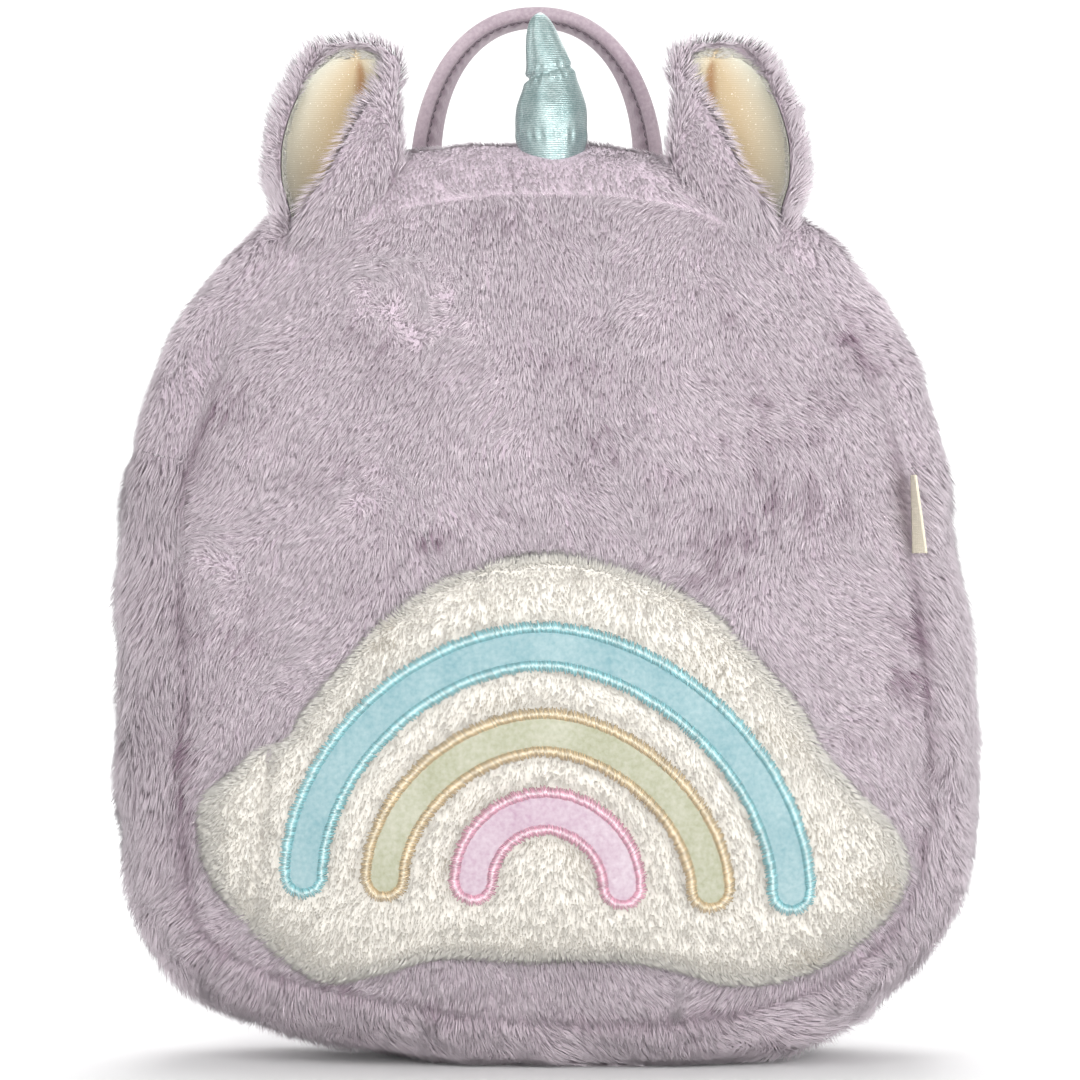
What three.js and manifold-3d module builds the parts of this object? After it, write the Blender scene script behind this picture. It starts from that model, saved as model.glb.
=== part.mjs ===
// Child's backpack shaped like a unicorn's head: a rounded bag of faux fur with a zip over the top, two folded ears,
// a stuffed horn, a padded cloud patch with a three-band rainbow, a grab handle and two padded shoulder straps.
// Millimetres. +Z is up, +X is to the right seen from the front, and the wearer's back is on the +Y side.
// Sizes below are set from a working origin on the floor, near the middle of the flattened base. The last lines move
// everything so that the origin is under the middle of the whole backpack.

import * as THREE from "three";
import { mergeVertices } from "three/addons/utils/BufferGeometryUtils.js";
import Module from "manifold-3d";

const wasm = await Module();
wasm.setup();

// Driving sizes of the bag
const bodyWidth = 256; // across the pile at its widest
const bodyHeight = 274; // from the floor to the top of the bag
const gussetDepth = 72; // from the front seam to the back seam
const frontSeamAhead = 0.445 * gussetDepth; // front seam, ahead of the origin
const backSeamBehind = gussetDepth - frontSeamAhead; // back seam, behind the origin
const fullestBehind = 0.07 * gussetDepth; // where the gusset bulges furthest, behind the origin
const frontSeamInset = 15.5; // front seam, inside the widest outline
const backSeamInset = 8; // back seam, inside the widest outline
const frontShift = 2.3; // front seam, to the right of the widest outline
const frontDome = 0.278 * gussetDepth; // how far the front panel swells ahead of its seam
const backDome = 0.055 * gussetDepth; // how far the back panel swells behind its seam
const furWall = 5; // knitted backing and the dense part of the pile
const backWall = 3; // back panel of brushed cloth over thin padding
const tuftDepth = 1.1; // how far the pile parts between its locks
const seamGap = 0.3; // between two panels that meet at a seam
const seatGap = 0.3; // between a piece and what it is sewn to

// Zip across the top of the gusset
const zipReach = 0.38; // share of the outline that the zip runs along
const zipBehind = gussetDepth / 6; // middle of the zip, behind the origin
const zipSlot = 12; // width left open between the two fur strips
const zipSink = 2.6; // tape, below the top of the pile
const tapeThick = 1.4;
const coilWidth = 5;
const coilRise = 1; // coil, above the tape
const sliderLength = 10;
const sliderWidth = 7.4;
const sliderHeight = 3;
const pullLength = 20;
const pullWidth = 5;
const pullThick = 1.2;

// Ears
const earSpread = 0.232 * bodyWidth; // middle of each ear from the line between them
const earMiddle = -2.3; // that line, to the right of the origin
const earHeight = 39.5; // above the shoulder that it stands on
const earWidth = 40;
const earDepth = 26; // front to back over the fold
const earAhead = 0.62 * frontSeamAhead; // middle of the ear's base, ahead of the origin
const earWall = 4.4;
const liningWall = 1.5;

// Horn
const hornHeight = 39.5; // above the top of the bag
const hornRadius = 10.7;
const hornSide = 2.4; // middle of its foot, to the right of the origin
const hornAhead = 0.44 * frontSeamAhead; // middle of its foot, ahead of the origin
const hornCrease = 0.6; // depth of the groove pulled in by the spiral thread

// Grab handle
const handleSpan = 75; // outside width at its feet
const handleRise = 43; // above the top of the bag
const handleMiddle = -1.9; // to the right of the origin
const handleStart = 0.55 * backSeamBehind; // front edge of the strap, behind the origin
const handleDepth = 0.4 * backSeamBehind; // width of the strap, front to back
const handleRoll = 6; // diameter of the rolled front edge
const handleThick = 2.8;
const footLean = 6; // how far the back edge leans inwards at the feet
const crownLean = 1; // and how far it dips at the top
const handlePucker = 0.7; // depth of the gathers along the back edge

// Cloud patch and rainbow
const cloudWidth = 0.797 * bodyWidth;
const cloudHeight = 0.447 * bodyHeight;
const cloudSide = 3.2; // middle of the cloud, to the right of the origin
const cloudMiddle = 0.3226 * bodyHeight; // and above the floor
const cloudThick = 6;
const bandHalfWidth = 6.3;
const bandThick = 1;
const bandEdge = 2; // height of the satin-stitched edge
const rainbowSide = 1.2; // middle of the rainbow, to the right of the origin
const rainbowFeet = cloudMiddle - 0.261 * cloudHeight; // middle of the feet, above the floor
const rainbowTilt = 0.035; // drop to the right for each millimetre

// Side label in the front seam
const labelHeight = 22.5;
const labelReach = 9.4;
const labelThick = 0.9;
const labelMiddle = 0.595 * bodyHeight; // above the floor
const labelTurns = [2, 18]; // degrees outwards from straight ahead, at its upper and lower ends

// Shoulder straps
const strapBow = 0.64 * gussetDepth; // how far a strap stands off the back panel
const strapWidth = 40;
const strapThick = 7;
const webbingWidth = 20;
const webbingThick = 4.6; // two layers where it folds over the ring
const ringWire = 2.6;
const ringSlot = 9; // clear height of the ring between its two bars

// Mesh fineness
const outlineSteps = 48;
const topSteps = 24;
const sideSteps = 40;
const cutTolerance = 0.1;
const degree = Math.PI / 180;

// The widest outline of the bag, seen from the front and starting under the base. Shares of half the width and of the
// height. The lowest points are below zero, because the base is pressed flat on the floor.
const OUTLINE = [
  { side: 0.15, up: -0.012 },
  { side: 0.38, up: -0.006 },
  { side: 0.56, up: 0.009 },
  { side: 0.67, up: 0.03 },
  { side: 0.765, up: 0.058 },
  { side: 0.85, up: 0.093 },
  { side: 0.93, up: 0.145 },
  { side: 0.99, up: 0.215 },
  { side: 1.008, up: 0.31 },
  { side: 0.993, up: 0.41 },
  { side: 0.97, up: 0.51 },
  { side: 0.94, up: 0.615 },
  { side: 0.908, up: 0.705 },
  { side: 0.848, up: 0.79 },
  { side: 0.76, up: 0.847 },
  { side: 0.64, up: 0.904 },
  { side: 0.5, up: 0.95 },
  { side: 0.34, up: 0.983 },
  { side: 0.17, up: 0.997 },
  { side: 0, up: 1 },
  { side: -0.19, up: 0.997 },
  { side: -0.36, up: 0.984 },
  { side: -0.53, up: 0.951 },
  { side: -0.68, up: 0.902 },
  { side: -0.8, up: 0.845 },
  { side: -0.875, up: 0.787 },
  { side: -0.94, up: 0.703 },
  { side: -0.985, up: 0.61 },
  { side: -0.99, up: 0.51 },
  { side: -0.978, up: 0.41 },
  { side: -0.988, up: 0.3 },
  { side: -0.972, up: 0.205 },
  { side: -0.925, up: 0.13 },
  { side: -0.845, up: 0.083 },
  { side: -0.73, up: 0.054 },
  { side: -0.55, up: 0.027 },
  { side: -0.35, up: 0.009 },
  { side: -0.14, up: -0.007 },
];

// Sections of an ear from below its seat to its tip: height above the shoulder as a share of earHeight, outer and
// inner edge as shares of earWidth, front-to-back size and backward lean as shares of earDepth, the angle at which the
// folded flap ends, and how many degrees the lining stops short of each fur edge.
const EAR = [
  { up: -0.62, outer: -0.4, inner: 0.26, deep: 0.85, lean: 0, flapEnd: -128, short: 8 },
  { up: -0.33, outer: -0.43, inner: 0.33, deep: 0.94, lean: 0, flapEnd: -119, short: 8 },
  { up: -0.05, outer: -0.5, inner: 0.48, deep: 1, lean: 0, flapEnd: -95, short: 8 },
  { up: 0.2, outer: -0.5, inner: 0.5, deep: 0.97, lean: 0.04, flapEnd: -80, short: 8 },
  { up: 0.42, outer: -0.45, inner: 0.485, deep: 0.86, lean: 0.09, flapEnd: -64, short: 8 },
  { up: 0.6, outer: -0.38, inner: 0.475, deep: 0.74, lean: 0.14, flapEnd: -45, short: 8 },
  { up: 0.74, outer: -0.325, inner: 0.5, deep: 0.62, lean: 0.18, flapEnd: -34, short: 14 },
  { up: 0.84, outer: -0.26, inner: 0.49, deep: 0.53, lean: 0.21, flapEnd: -28, short: 44 },
  { up: 0.915, outer: -0.18, inner: 0.43, deep: 0.42, lean: 0.23, flapEnd: -28, short: 60 },
  { up: 0.975, outer: -0.07, inner: 0.31, deep: 0.26, lean: 0.24, flapEnd: -26, short: 60 },
];
const EAR_TIP = { up: 1, side: 0.12, lean: 0.24 };
const LINED_SECTIONS = 8; // the lining ends below the solid tip

// The horn from its foot to its tip: shares of hornHeight and hornRadius, and the lean to the right as a share of
// hornRadius.
const HORN = [
  { up: -0.3, radius: 0.82, lean: 0 },
  { up: -0.07, radius: 0.93, lean: 0 },
  { up: 0.02, radius: 0.98, lean: 0 },
  { up: 0.15, radius: 1, lean: 0 },
  { up: 0.25, radius: 0.97, lean: 0 },
  { up: 0.32, radius: 0.9, lean: 0 },
  { up: 0.385, radius: 0.82, lean: 0 },
  { up: 0.45, radius: 0.74, lean: 0 },
  { up: 0.52, radius: 0.69, lean: -0.03 },
  { up: 0.6, radius: 0.63, lean: -0.08 },
  { up: 0.69, radius: 0.57, lean: -0.15 },
  { up: 0.78, radius: 0.49, lean: -0.22 },
  { up: 0.87, radius: 0.39, lean: -0.27 },
  { up: 0.94, radius: 0.27, lean: -0.31 },
  { up: 0.98, radius: 0.14, lean: -0.32 },
];
const CREASE_UP = 0.475; // height of the groove at the left, as a share of hornHeight
const CREASE_CLIMB = 0.1; // how much higher it is at the right
const CREASE_SPAN = 0.07; // its half width, as a share of hornHeight

// Outline of the cloud patch, from its left end over the top: shares of half its width and of half its height.
const CLOUD = [
  { side: -1, up: -0.31 },
  { side: -0.99, up: -0.13 },
  { side: -0.9, up: -0.01 },
  { side: -0.83, up: 0.1 },
  { side: -0.75, up: 0.15 },
  { side: -0.7, up: 0.27 },
  { side: -0.57, up: 0.53 },
  { side: -0.44, up: 0.75 },
  { side: -0.27, up: 0.91 },
  { side: -0.02, up: 1 },
  { side: 0.24, up: 0.91 },
  { side: 0.43, up: 0.74 },
  { side: 0.57, up: 0.51 },
  { side: 0.68, up: 0.3 },
  { side: 0.75, up: 0.1 },
  { side: 0.85, up: -0.1 },
  { side: 0.96, up: -0.28 },
  { side: 1, up: -0.45 },
  { side: 0.96, up: -0.64 },
  { side: 0.83, up: -0.84 },
  { side: 0.67, up: -0.97 },
  { side: 0.5, up: -1 },
  { side: 0.35, up: -0.93 },
  { side: 0.18, up: -0.88 },
  { side: -0.1, up: -0.88 },
  { side: -0.33, up: -0.87 },
  { side: -0.5, up: -0.95 },
  { side: -0.65, up: -0.99 },
  { side: -0.78, up: -0.86 },
  { side: -0.9, up: -0.66 },
  { side: -0.97, up: -0.5 },
];

// The cloud's face and its rounded edge: reach from the middle to the outline, and share of cloudThick. The back is
// drawn inside the bag and cut off at its surface.
const CLOUD_FACE = [
  { reach: 0, rise: 1 },
  { reach: 0.35, rise: 1 },
  { reach: 0.62, rise: 1 },
  { reach: 0.82, rise: 1 },
  { reach: 0.92, rise: 0.93 },
  { reach: 0.975, rise: 0.7 },
  { reach: 1, rise: 0.3 },
  { reach: 0.99, rise: -0.5 },
  { reach: 0, rise: -0.5 },
];

// The rainbow's three bands: half the distance between the feet as a share of half the cloud's width, the rise of the
// crown above them as a share of the cloud's height, and the exponent of the arch, which is 2 for an ellipse and less
// for leaner shoulders.
const BANDS = [
  { name: "rainbow_blue", reach: 0.69, rise: 0.559, full: 1.82, colour: "#bfe0e6" },
  { name: "rainbow_yellow", reach: 0.46, rise: 0.358, full: 1.8, colour: "#e9e8cb" },
  { name: "rainbow_pink", reach: 0.21, rise: 0.173, full: 1.94, colour: "#f0cfe0" },
];

// Half section of a band: share of its half width, and whether the point is on the edge or on the flat.
const BAND_SECTION = [
  { across: -1, rise: 0 },
  { across: -1, rise: 0.6 * bandEdge },
  { across: -0.88, rise: bandEdge },
  { across: -0.72, rise: bandThick },
  { across: 0.72, rise: bandThick },
  { across: 0.88, rise: bandEdge },
  { across: 1, rise: 0.6 * bandEdge },
  { across: 1, rise: 0 },
];

// Route of the right shoulder strap: share of half the body's width, of strapBow and of the body's height, and width
// as a share of strapWidth. It begins inside the bag's top seam, and its last point is at the ring.
const STRAP = [
  { side: 0.2, off: -0.2, up: 0.86, width: 0.9 },
  { side: 0.21, off: 0.16, up: 0.89, width: 0.95 },
  { side: 0.25, off: 0.62, up: 0.885, width: 1 },
  { side: 0.32, off: 0.95, up: 0.8, width: 1 },
  { side: 0.4, off: 1, up: 0.66, width: 0.98 },
  { side: 0.48, off: 0.92, up: 0.52, width: 0.9 },
  { side: 0.56, off: 0.72, up: 0.39, width: 0.7 },
];
// Route of the webbing from the ring to the seam at the bottom corner, in the same shares.
const WEBBING = [
  { side: 0.56, off: 0.72, up: 0.39 },
  { side: 0.62, off: 0.53, up: 0.3 },
  { side: 0.69, off: 0.28, up: 0.215 },
  { side: 0.755, off: -0.1, up: 0.15 },
];

const v3 = (x, y, z) => new THREE.Vector3(x, y, z);

// One closed geometry from points and triangles: equal points merged, collapsed triangles dropped, faces outwards.
function closed(points, triangles) {
  const loose = new THREE.BufferGeometry().setFromPoints(points);
  loose.setIndex(triangles);
  const merged = mergeVertices(loose, 1e-3);
  const kept = [];
  const corner = [v3(), v3(), v3()];
  let volume = 0;
  for (let k = 0; k < merged.index.count; k += 3) {
    const [a, b, c] = [0, 1, 2].map((n) => merged.index.getX(k + n));
    if (a === b || b === c || c === a) continue;
    [a, b, c].forEach((index, n) => corner[n].fromBufferAttribute(merged.attributes.position, index));
    volume += corner[0].dot(corner[1].cross(corner[2]));
    kept.push(a, b, c);
  }
  if (volume < 0) kept.reverse();
  return merged.setIndex(kept);
}

// A surface through rings with equal numbers of points. A ring whose points coincide is a pole. The first and last
// rings are filled with flat caps, drawn from the same ring in the two coordinates that `flat` returns.
function loft(rings, flat) {
  const count = rings[0].length;
  const triangles = [];
  for (let k = 0; k < rings.length - 1; k++)
    for (let j = 0; j < count; j++) {
      const [a, b] = [k * count + j, k * count + ((j + 1) % count)];
      triangles.push(a, a + count, b, b, a + count, b + count);
    }
  if (flat)
    [0, rings.length - 1].forEach((k) => {
      const contour = rings[k].map(flat);
      const turn = THREE.ShapeUtils.area(contour);
      for (const face of THREE.ShapeUtils.triangulateShape(contour, [])) {
        const along = THREE.ShapeUtils.area(face.map((n) => contour[n])) * turn > 0;
        const corners = face.map((n) => k * count + n);
        triangles.push(...(along === (k === 0) ? corners : corners.reverse()));
      }
    });
  return closed(rings.flat(), triangles);
}

const solid = (geometry) => {
  const bare = geometry.clone();
  bare.deleteAttribute("normal");
  bare.deleteAttribute("uv");
  const { attributes, index } = mergeVertices(bare, 1e-3);
  const vertProperties = new Float32Array(attributes.position.array);
  return new wasm.Manifold(new wasm.Mesh({ numProp: 3, vertProperties, triVerts: new Uint32Array(index.array) }));
};

// The largest body of a solid, as a geometry without the slivers that cutting leaves.
function largest(manifold) {
  const body = manifold.decompose().reduce((best, next) => (next.volume() > best.volume() ? next : best));
  const { vertProperties, triVerts } = body.simplify(cutTolerance).getMesh();
  return new THREE.BufferGeometry()
    .setAttribute("position", new THREE.BufferAttribute(vertProperties, 3))
    .setIndex(new THREE.BufferAttribute(triVerts, 1));
}

const without = (geometry, ...cutters) =>
  largest(cutters.reduce((rest, cutter) => rest.subtract(cutter), solid(geometry)));

const outlineOf = (rows, halfWidth, halfHeight) => {
  const points = rows.map(({ side, up }) => v3(side * halfWidth, 0, up * halfHeight));
  const curve = new THREE.CatmullRomCurve3(points, true, "centripetal");
  curve.arcLengthDivisions = 600;
  return curve;
};

const bodyOutline = outlineOf(OUTLINE, bodyWidth / 2, bodyHeight);
const wrapped = (t) => ((t % 1) + 1) % 1;

// How far the gusset lies inside the widest outline at a depth y: a cubic from the fullest line to each seam.
function insetAt(y) {
  if (y < fullestBehind)
    return frontSeamInset * ((fullestBehind - y) / (fullestBehind + frontSeamAhead)) ** 3;
  return backSeamInset * ((y - fullestBehind) / (backSeamBehind - fullestBehind)) ** 3;
}

// A point of the gusset at share t of the outline and depth y, sunk below the top of the pile. No point is lower than
// the floor's height, which makes the base flat.
function gussetPoint(t, y, sink, floor = sink) {
  const point = bodyOutline.getPointAt(wrapped(t));
  const along = bodyOutline.getTangentAt(wrapped(t));
  const inset = insetAt(y) + sink;
  const shift = y < fullestBehind ? (frontShift * insetAt(y)) / frontSeamInset : 0;
  return v3(point.x - along.z * inset + shift, y, Math.max(point.z + along.x * inset, floor));
}

const faceCentre = v3(0, 0, 0.45 * bodyHeight);
const frontBend = 2.6; // exponent of the front panel's swelling: flat in the middle, round at the seam
const backBend = 4;

// A point of the front or back panel: share r of the way from its middle to its seam.
function panelPoint(t, r, sink, isFront) {
  const [seamY, dome, bend] = isFront
    ? [-frontSeamAhead, -frontDome, frontBend]
    : [backSeamBehind, backDome, backBend];
  const edge = gussetPoint(t, seamY, sink);
  const way = Math.sign(dome);
  const swell = (dome - way * sink) * (1 - r ** bend);
  return v3(
    faceCentre.x + (edge.x - faceCentre.x) * r,
    seamY + swell + (way * seamGap) / 2,
    faceCentre.z + (edge.z - faceCentre.z) * r,
  );
}

const aroundBody = (place, count = outlineSteps) => Array.from({ length: count }, (_, j) => place(j / count, j));
const steps = (from, to, count) => Array.from({ length: count + 1 }, (_, k) => from + ((to - from) * k) / count);

// Locks of the pile: every other vertex of a staggered grid is a parting.
const parting = (row, column) => ((row + column) % 2 ? tuftDepth : 0);

// The whole bag as one solid, grown by a clearance, that cuts the pieces which stand on it.
function bagGrown(gap) {
  const [reach, fine] = [steps(0, 1, 12), 2 * outlineSteps];
  const rings = [
    ...reach.map((r) => aroundBody((t) => panelPoint(t, r, -gap, true), fine)),
    ...steps(-frontSeamAhead, backSeamBehind, 18).map((y) => aroundBody((t) => gussetPoint(t, y, -gap), fine)),
    ...reach.toReversed().map((r) => aroundBody((t) => panelPoint(t, r, -gap, false), fine)),
  ];
  return solid(loft(rings));
}

// Front surface of the bag over a point of the front view, and the share of the way to the seam there.
const seamSteps = 360;
const frontSeam = Array.from({ length: seamSteps }, (_, k) => gussetPoint(k / seamSteps, -frontSeamAhead, 0));
function frontSurface(x, z) {
  const [dx, dz] = [x - faceCentre.x, z - faceCentre.z];
  const far = Math.hypot(dx, dz);
  if (far < 1e-6) return -frontSeamAhead - frontDome - seamGap / 2;
  for (let k = 0; k < frontSeam.length; k++) {
    const a = frontSeam[k].clone().sub(faceCentre);
    const b = frontSeam[(k + 1) % frontSeam.length].clone().sub(faceCentre);
    const [ca, cb] = [dx * a.z - dz * a.x, dx * b.z - dz * b.x];
    if (ca * cb > 0 || dx * a.x + dz * a.z < 0 || ca === cb) continue;
    const share = ca / (ca - cb);
    const r = Math.min(far / Math.hypot(a.x + (b.x - a.x) * share, a.z + (b.z - a.z) * share), 1);
    return -frontSeamAhead - frontDome * (1 - r ** frontBend) - seamGap / 2;
  }
  return -frontSeamAhead;
}

// Highest point of the widest outline over x.
const crown = Array.from({ length: seamSteps }, (_, k) => bodyOutline.getPointAt(k / seamSteps));
function topAt(x) {
  const near = crown.filter((point) => point.z > faceCentre.z);
  const best = near.reduce((a, b) => (Math.abs(b.x - x) < Math.abs(a.x - x) ? b : a));
  return best.z;
}

// Panels of the bag
function frontPanel() {
  const face = steps(0, 1, 12).map((r, row) =>
    aroundBody((t, j) => panelPoint(t, r, r < 1 ? parting(row, j) * Math.min(1, 2 * r) : 0, true)),
  );
  const inside = [1, 0.86, 0.6, 0.3, 0].map((r) => aroundBody((t) => panelPoint(t, r, furWall, true)));
  return loft([...face, ...inside]);
}

function backPanel() {
  const face = [0, 0.5, 0.8, 0.93, 1].map((r) => aroundBody((t) => panelPoint(t, r, 0, false)));
  const inside = [1, 0.6, 0].map((r) => aroundBody((t) => panelPoint(t, r, backWall, false)));
  return loft([...face, ...inside]);
}

// A strip of the gusset between two shares of the outline and two depths. Its section is a row of depths outside and
// three inside, and the pile's partings stay clear of its edges.
function furStrip(from, to, along, front, back, across) {
  const outside = steps(front, back, across);
  const inside = [back, (front + back) / 2, front];
  const rings = steps(from, to, along).map((t, j) => [
    ...outside.map((y, row) => {
      const isEdge = row === 0 || row === across || j === 0 || j === along;
      return gussetPoint(t, y, isEdge ? 0 : parting(row, j), 0);
    }),
    ...inside.map((y) => gussetPoint(t, y, furWall)),
  ]);
  const section = [...outside.map((y) => [y, 0]), ...inside.map((y) => [y, furWall])];
  return capped(rings, section);
}

// A loft whose end caps are drawn in the coordinates of its section.
function capped(rings, section) {
  const flat = new Map();
  rings.forEach((ring) => ring.forEach((point, n) => flat.set(point, new THREE.Vector2(...section[n]))));
  return loft(rings, (point) => flat.get(point));
}

const crownShare = steps(0.3, 0.7, 400).reduce((a, b) =>
  Math.abs(bodyOutline.getPointAt(b).x) < Math.abs(bodyOutline.getPointAt(a).x) ? b : a,
);
const zipFrom = crownShare - zipReach / 2;
const zipTo = crownShare + zipReach / 2;
const shareOf = (length) => length / bodyOutline.getLength();

function zipTape() {
  const edge = zipSlot / 2 - seamGap;
  const section = [
    [-edge, 0],
    [-coilWidth / 2, 0],
    [-coilWidth / 2 + coilRise, coilRise],
    [coilWidth / 2 - coilRise, coilRise],
    [coilWidth / 2, 0],
    [edge, 0],
    [edge, -tapeThick],
    [-edge, -tapeThick],
  ];
  const rings = steps(zipFrom, zipTo, topSteps).map((t) =>
    section.map(([y, rise]) => gussetPoint(t, zipBehind + y, zipSink - rise)),
  );
  return capped(rings, section);
}

// The slider and its pull, in one plain piece at the right end of the zip. It is drawn with its length along Y, and
// its underside on Z = 0.
function zipSlider() {
  const body = new THREE.Shape();
  body.moveTo(-sliderWidth / 2, -sliderLength / 2);
  body.lineTo(sliderWidth / 2, -sliderLength / 2);
  body.quadraticCurveTo(sliderWidth / 2, sliderLength / 2, 0, sliderLength / 2);
  body.quadraticCurveTo(-sliderWidth / 2, sliderLength / 2, -sliderWidth / 2, -sliderLength / 2);
  const pull = new THREE.Shape();
  const start = -sliderLength / 2 + pullWidth;
  pull.moveTo(-pullWidth / 2, start);
  pull.lineTo(-pullWidth / 2, start - pullLength + pullWidth / 2);
  pull.absarc(0, start - pullLength + pullWidth / 2, pullWidth / 2, Math.PI, 2 * Math.PI);
  pull.lineTo(pullWidth / 2, start);
  const options = { bevelEnabled: false, curveSegments: 5 };
  const bodySolid = solid(new THREE.ExtrudeGeometry(body, { ...options, depth: sliderHeight }));
  const pullSolid = solid(new THREE.ExtrudeGeometry(pull, { ...options, depth: pullThick }));
  return largest(bodySolid.add(pullSolid.translate(0, 0, sliderHeight - pullThick / 2)));
}

function placeSlider(mesh) {
  const t = zipFrom + shareOf(sliderLength / 2 + pullWidth);
  const along = bodyOutline.getTangentAt(t);
  const foot = gussetPoint(t, zipBehind, zipSink - coilRise - seatGap);
  const outwards = v3(along.z, 0, -along.x);
  const across = along.clone().cross(outwards);
  mesh.matrix.makeBasis(across, along, outwards).setPosition(foot);
  mesh.matrix.decompose(mesh.position, mesh.quaternion, mesh.scale);
  return mesh;
}

// Ears. A section is an arc of an ellipse from the outer edge, round the back and the inner fold, to the flap's edge.
const outerEdgeAngle = 195;
const earArcSteps = 9;

function earSection(row, side, wallOutside, wallInside, short) {
  const middle = side * earSpread + earMiddle;
  const shoulder = topAt(middle);
  const along = (share) => middle - side * share * earWidth;
  const [outer, inner] = [along(row.outer), along(row.inner)];
  const half = { x: Math.abs(inner - outer) / 2, y: (row.deep * earDepth) / 2 };
  const centre = { x: (outer + inner) / 2, y: -earAhead + row.lean * earDepth };
  const thin = Math.min(1, half.y / (1.6 * earWall));
  const z = shoulder + row.up * earHeight;
  const at = (degrees, inset) => {
    const angle = degrees * degree;
    const [a, b] = [half.x - inset * thin, half.y - inset * thin];
    return v3(centre.x - side * a * Math.cos(angle), centre.y + b * Math.sin(angle), z);
  };
  const [from, to] = [outerEdgeAngle - short, row.flapEnd + short];
  const outside = steps(from, to, earArcSteps).map((angle) => at(angle, wallOutside));
  const inside = steps(to, from, earArcSteps).map((angle) => at(angle, wallInside));
  const roundEnd = (a, b, angle, way) => {
    const reach = (a.distanceTo(b) * 0.45) / Math.max(half.x, 1);
    const bulged = at(angle + (way * reach) / degree, (wallOutside + wallInside) / 2);
    return bulged.lerp(a.clone().lerp(b, 0.5), 0.35);
  };
  return [
    ...outside,
    roundEnd(outside.at(-1), inside[0], to, -1),
    ...inside,
    roundEnd(inside.at(-1), outside[0], from, 1),
  ];
}

function earLoft(side, grow) {
  const rings = EAR.map((row) => earSection(row, side, -grow, earWall + grow, -6 * grow));
  const middle = side * earSpread + earMiddle;
  const tip = v3(
    middle - side * EAR_TIP.side * earWidth,
    -earAhead + EAR_TIP.lean * earDepth,
    topAt(middle) + EAR_TIP.up * earHeight + grow,
  );
  rings.push(rings[0].map(() => tip.clone()));
  return loft(rings, flatFromAbove);
}

const ear = (side, bag) => without(earLoft(side, 0), bag);

function earLining(side, bag) {
  const rings = EAR.slice(0, LINED_SECTIONS).map((row) =>
    earSection(row, side, earWall, earWall + seatGap + liningWall, row.short),
  );
  return without(loft(rings, flatFromAbove), bag, solid(earLoft(side, seatGap)));
}

const flatFromAbove = (point) => new THREE.Vector2(point.x, point.y);

// Horn: rings leaning as the table says, with a groove that climbs round it from left to right.
const hornSides = 18;
function horn(bag) {
  const foot = topAt(hornSide);
  const rings = HORN.map(({ up, radius, lean }) =>
    Array.from({ length: hornSides }, (_, j) => {
      const angle = (2 * Math.PI * j) / hornSides;
      const grooveUp = CREASE_UP + (CREASE_CLIMB * (1 + Math.cos(angle))) / 2;
      const groove = Math.exp(-(((up - grooveUp) / CREASE_SPAN) ** 2));
      const away = radius * hornRadius - hornCrease * groove;
      return v3(
        hornSide + lean * hornRadius + away * Math.cos(angle),
        -hornAhead + away * Math.sin(angle),
        foot + up * hornHeight,
      );
    }),
  );
  const tip = v3(hornSide + HORN.at(-1).lean * hornRadius, -hornAhead, foot + hornHeight);
  rings.push(rings[0].map(() => tip.clone()));
  return without(loft(rings, flatFromAbove), bag);
}

// Grab handle: a rolled edge in front and a flat strap behind it, carried over an arch. The strap leans inwards.
const archSquareness = 2.2;
const archSteps = 30;
function handle(bag) {
  const top = topAt(handleMiddle);
  const sunk = insetAt(handleStart + handleDepth) + furWall;
  const half = handleSpan / 2 - handleRoll / 2;
  const rise = handleRise + sunk - handleRoll / 2;
  const place = (angle) => {
    const [c, s] = [Math.cos(angle), Math.sin(angle)];
    const power = 2 / archSquareness;
    return {
      at: v3(handleMiddle + half * Math.sign(c) * Math.abs(c) ** power, 0, top - sunk + rise * Math.abs(s) ** power),
      lean: footLean + (crownLean - footLean) * s,
    };
  };
  const rings = steps(0, Math.PI, archSteps).map((angle, k) => {
    const { at, lean } = place(angle);
    const along = place(angle + 1e-3).at.sub(place(angle - 1e-3).at).normalize();
    const outwards = v3(along.z, 0, -along.x);
    return handleSection(lean + handlePucker * (k % 2)).map(([behind, out]) =>
      at.clone().addScaledVector(outwards, out).add(v3(0, behind + handleStart, 0)),
    );
  });
  return without(loft(rings, (point) => new THREE.Vector2(point.x, point.y)), bag);
}

// Section of the handle: depth behind its front edge, and distance outwards from the roll's middle.
function handleSection(lean) {
  const radius = handleRoll / 2;
  const roll = steps(60, 300, 5).map((angle) => [
    radius - radius * Math.cos((angle - 180) * degree),
    radius * Math.sin((180 - angle) * degree),
  ]);
  const flap = [
    [handleDepth * 0.55, -handleThick / 2 - lean * 0.5],
    [handleDepth, -handleThick / 2 - lean],
    [handleDepth, handleThick / 2 - lean],
    [handleDepth * 0.55, handleThick / 2 - lean * 0.5],
  ];
  return [...roll, ...flap];
}

// Cloud patch
const cloudOutline = outlineOf(CLOUD, cloudWidth / 2, cloudHeight / 2);
const cloudSteps = 48;
function cloudPoint(t, reach, rise) {
  const edge = cloudOutline.getPointAt(wrapped(t));
  const [x, z] = [cloudSide + edge.x * reach, cloudMiddle + edge.z * reach];
  return v3(x, frontSurface(x, z) - seatGap - rise * cloudThick, z);
}

function cloudPatch(bag) {
  const rings = CLOUD_FACE.map(({ reach, rise }) =>
    Array.from({ length: cloudSteps }, (_, j) => cloudPoint(j / cloudSteps, reach, rise)),
  );
  return without(loft(rings), bag);
}

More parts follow.
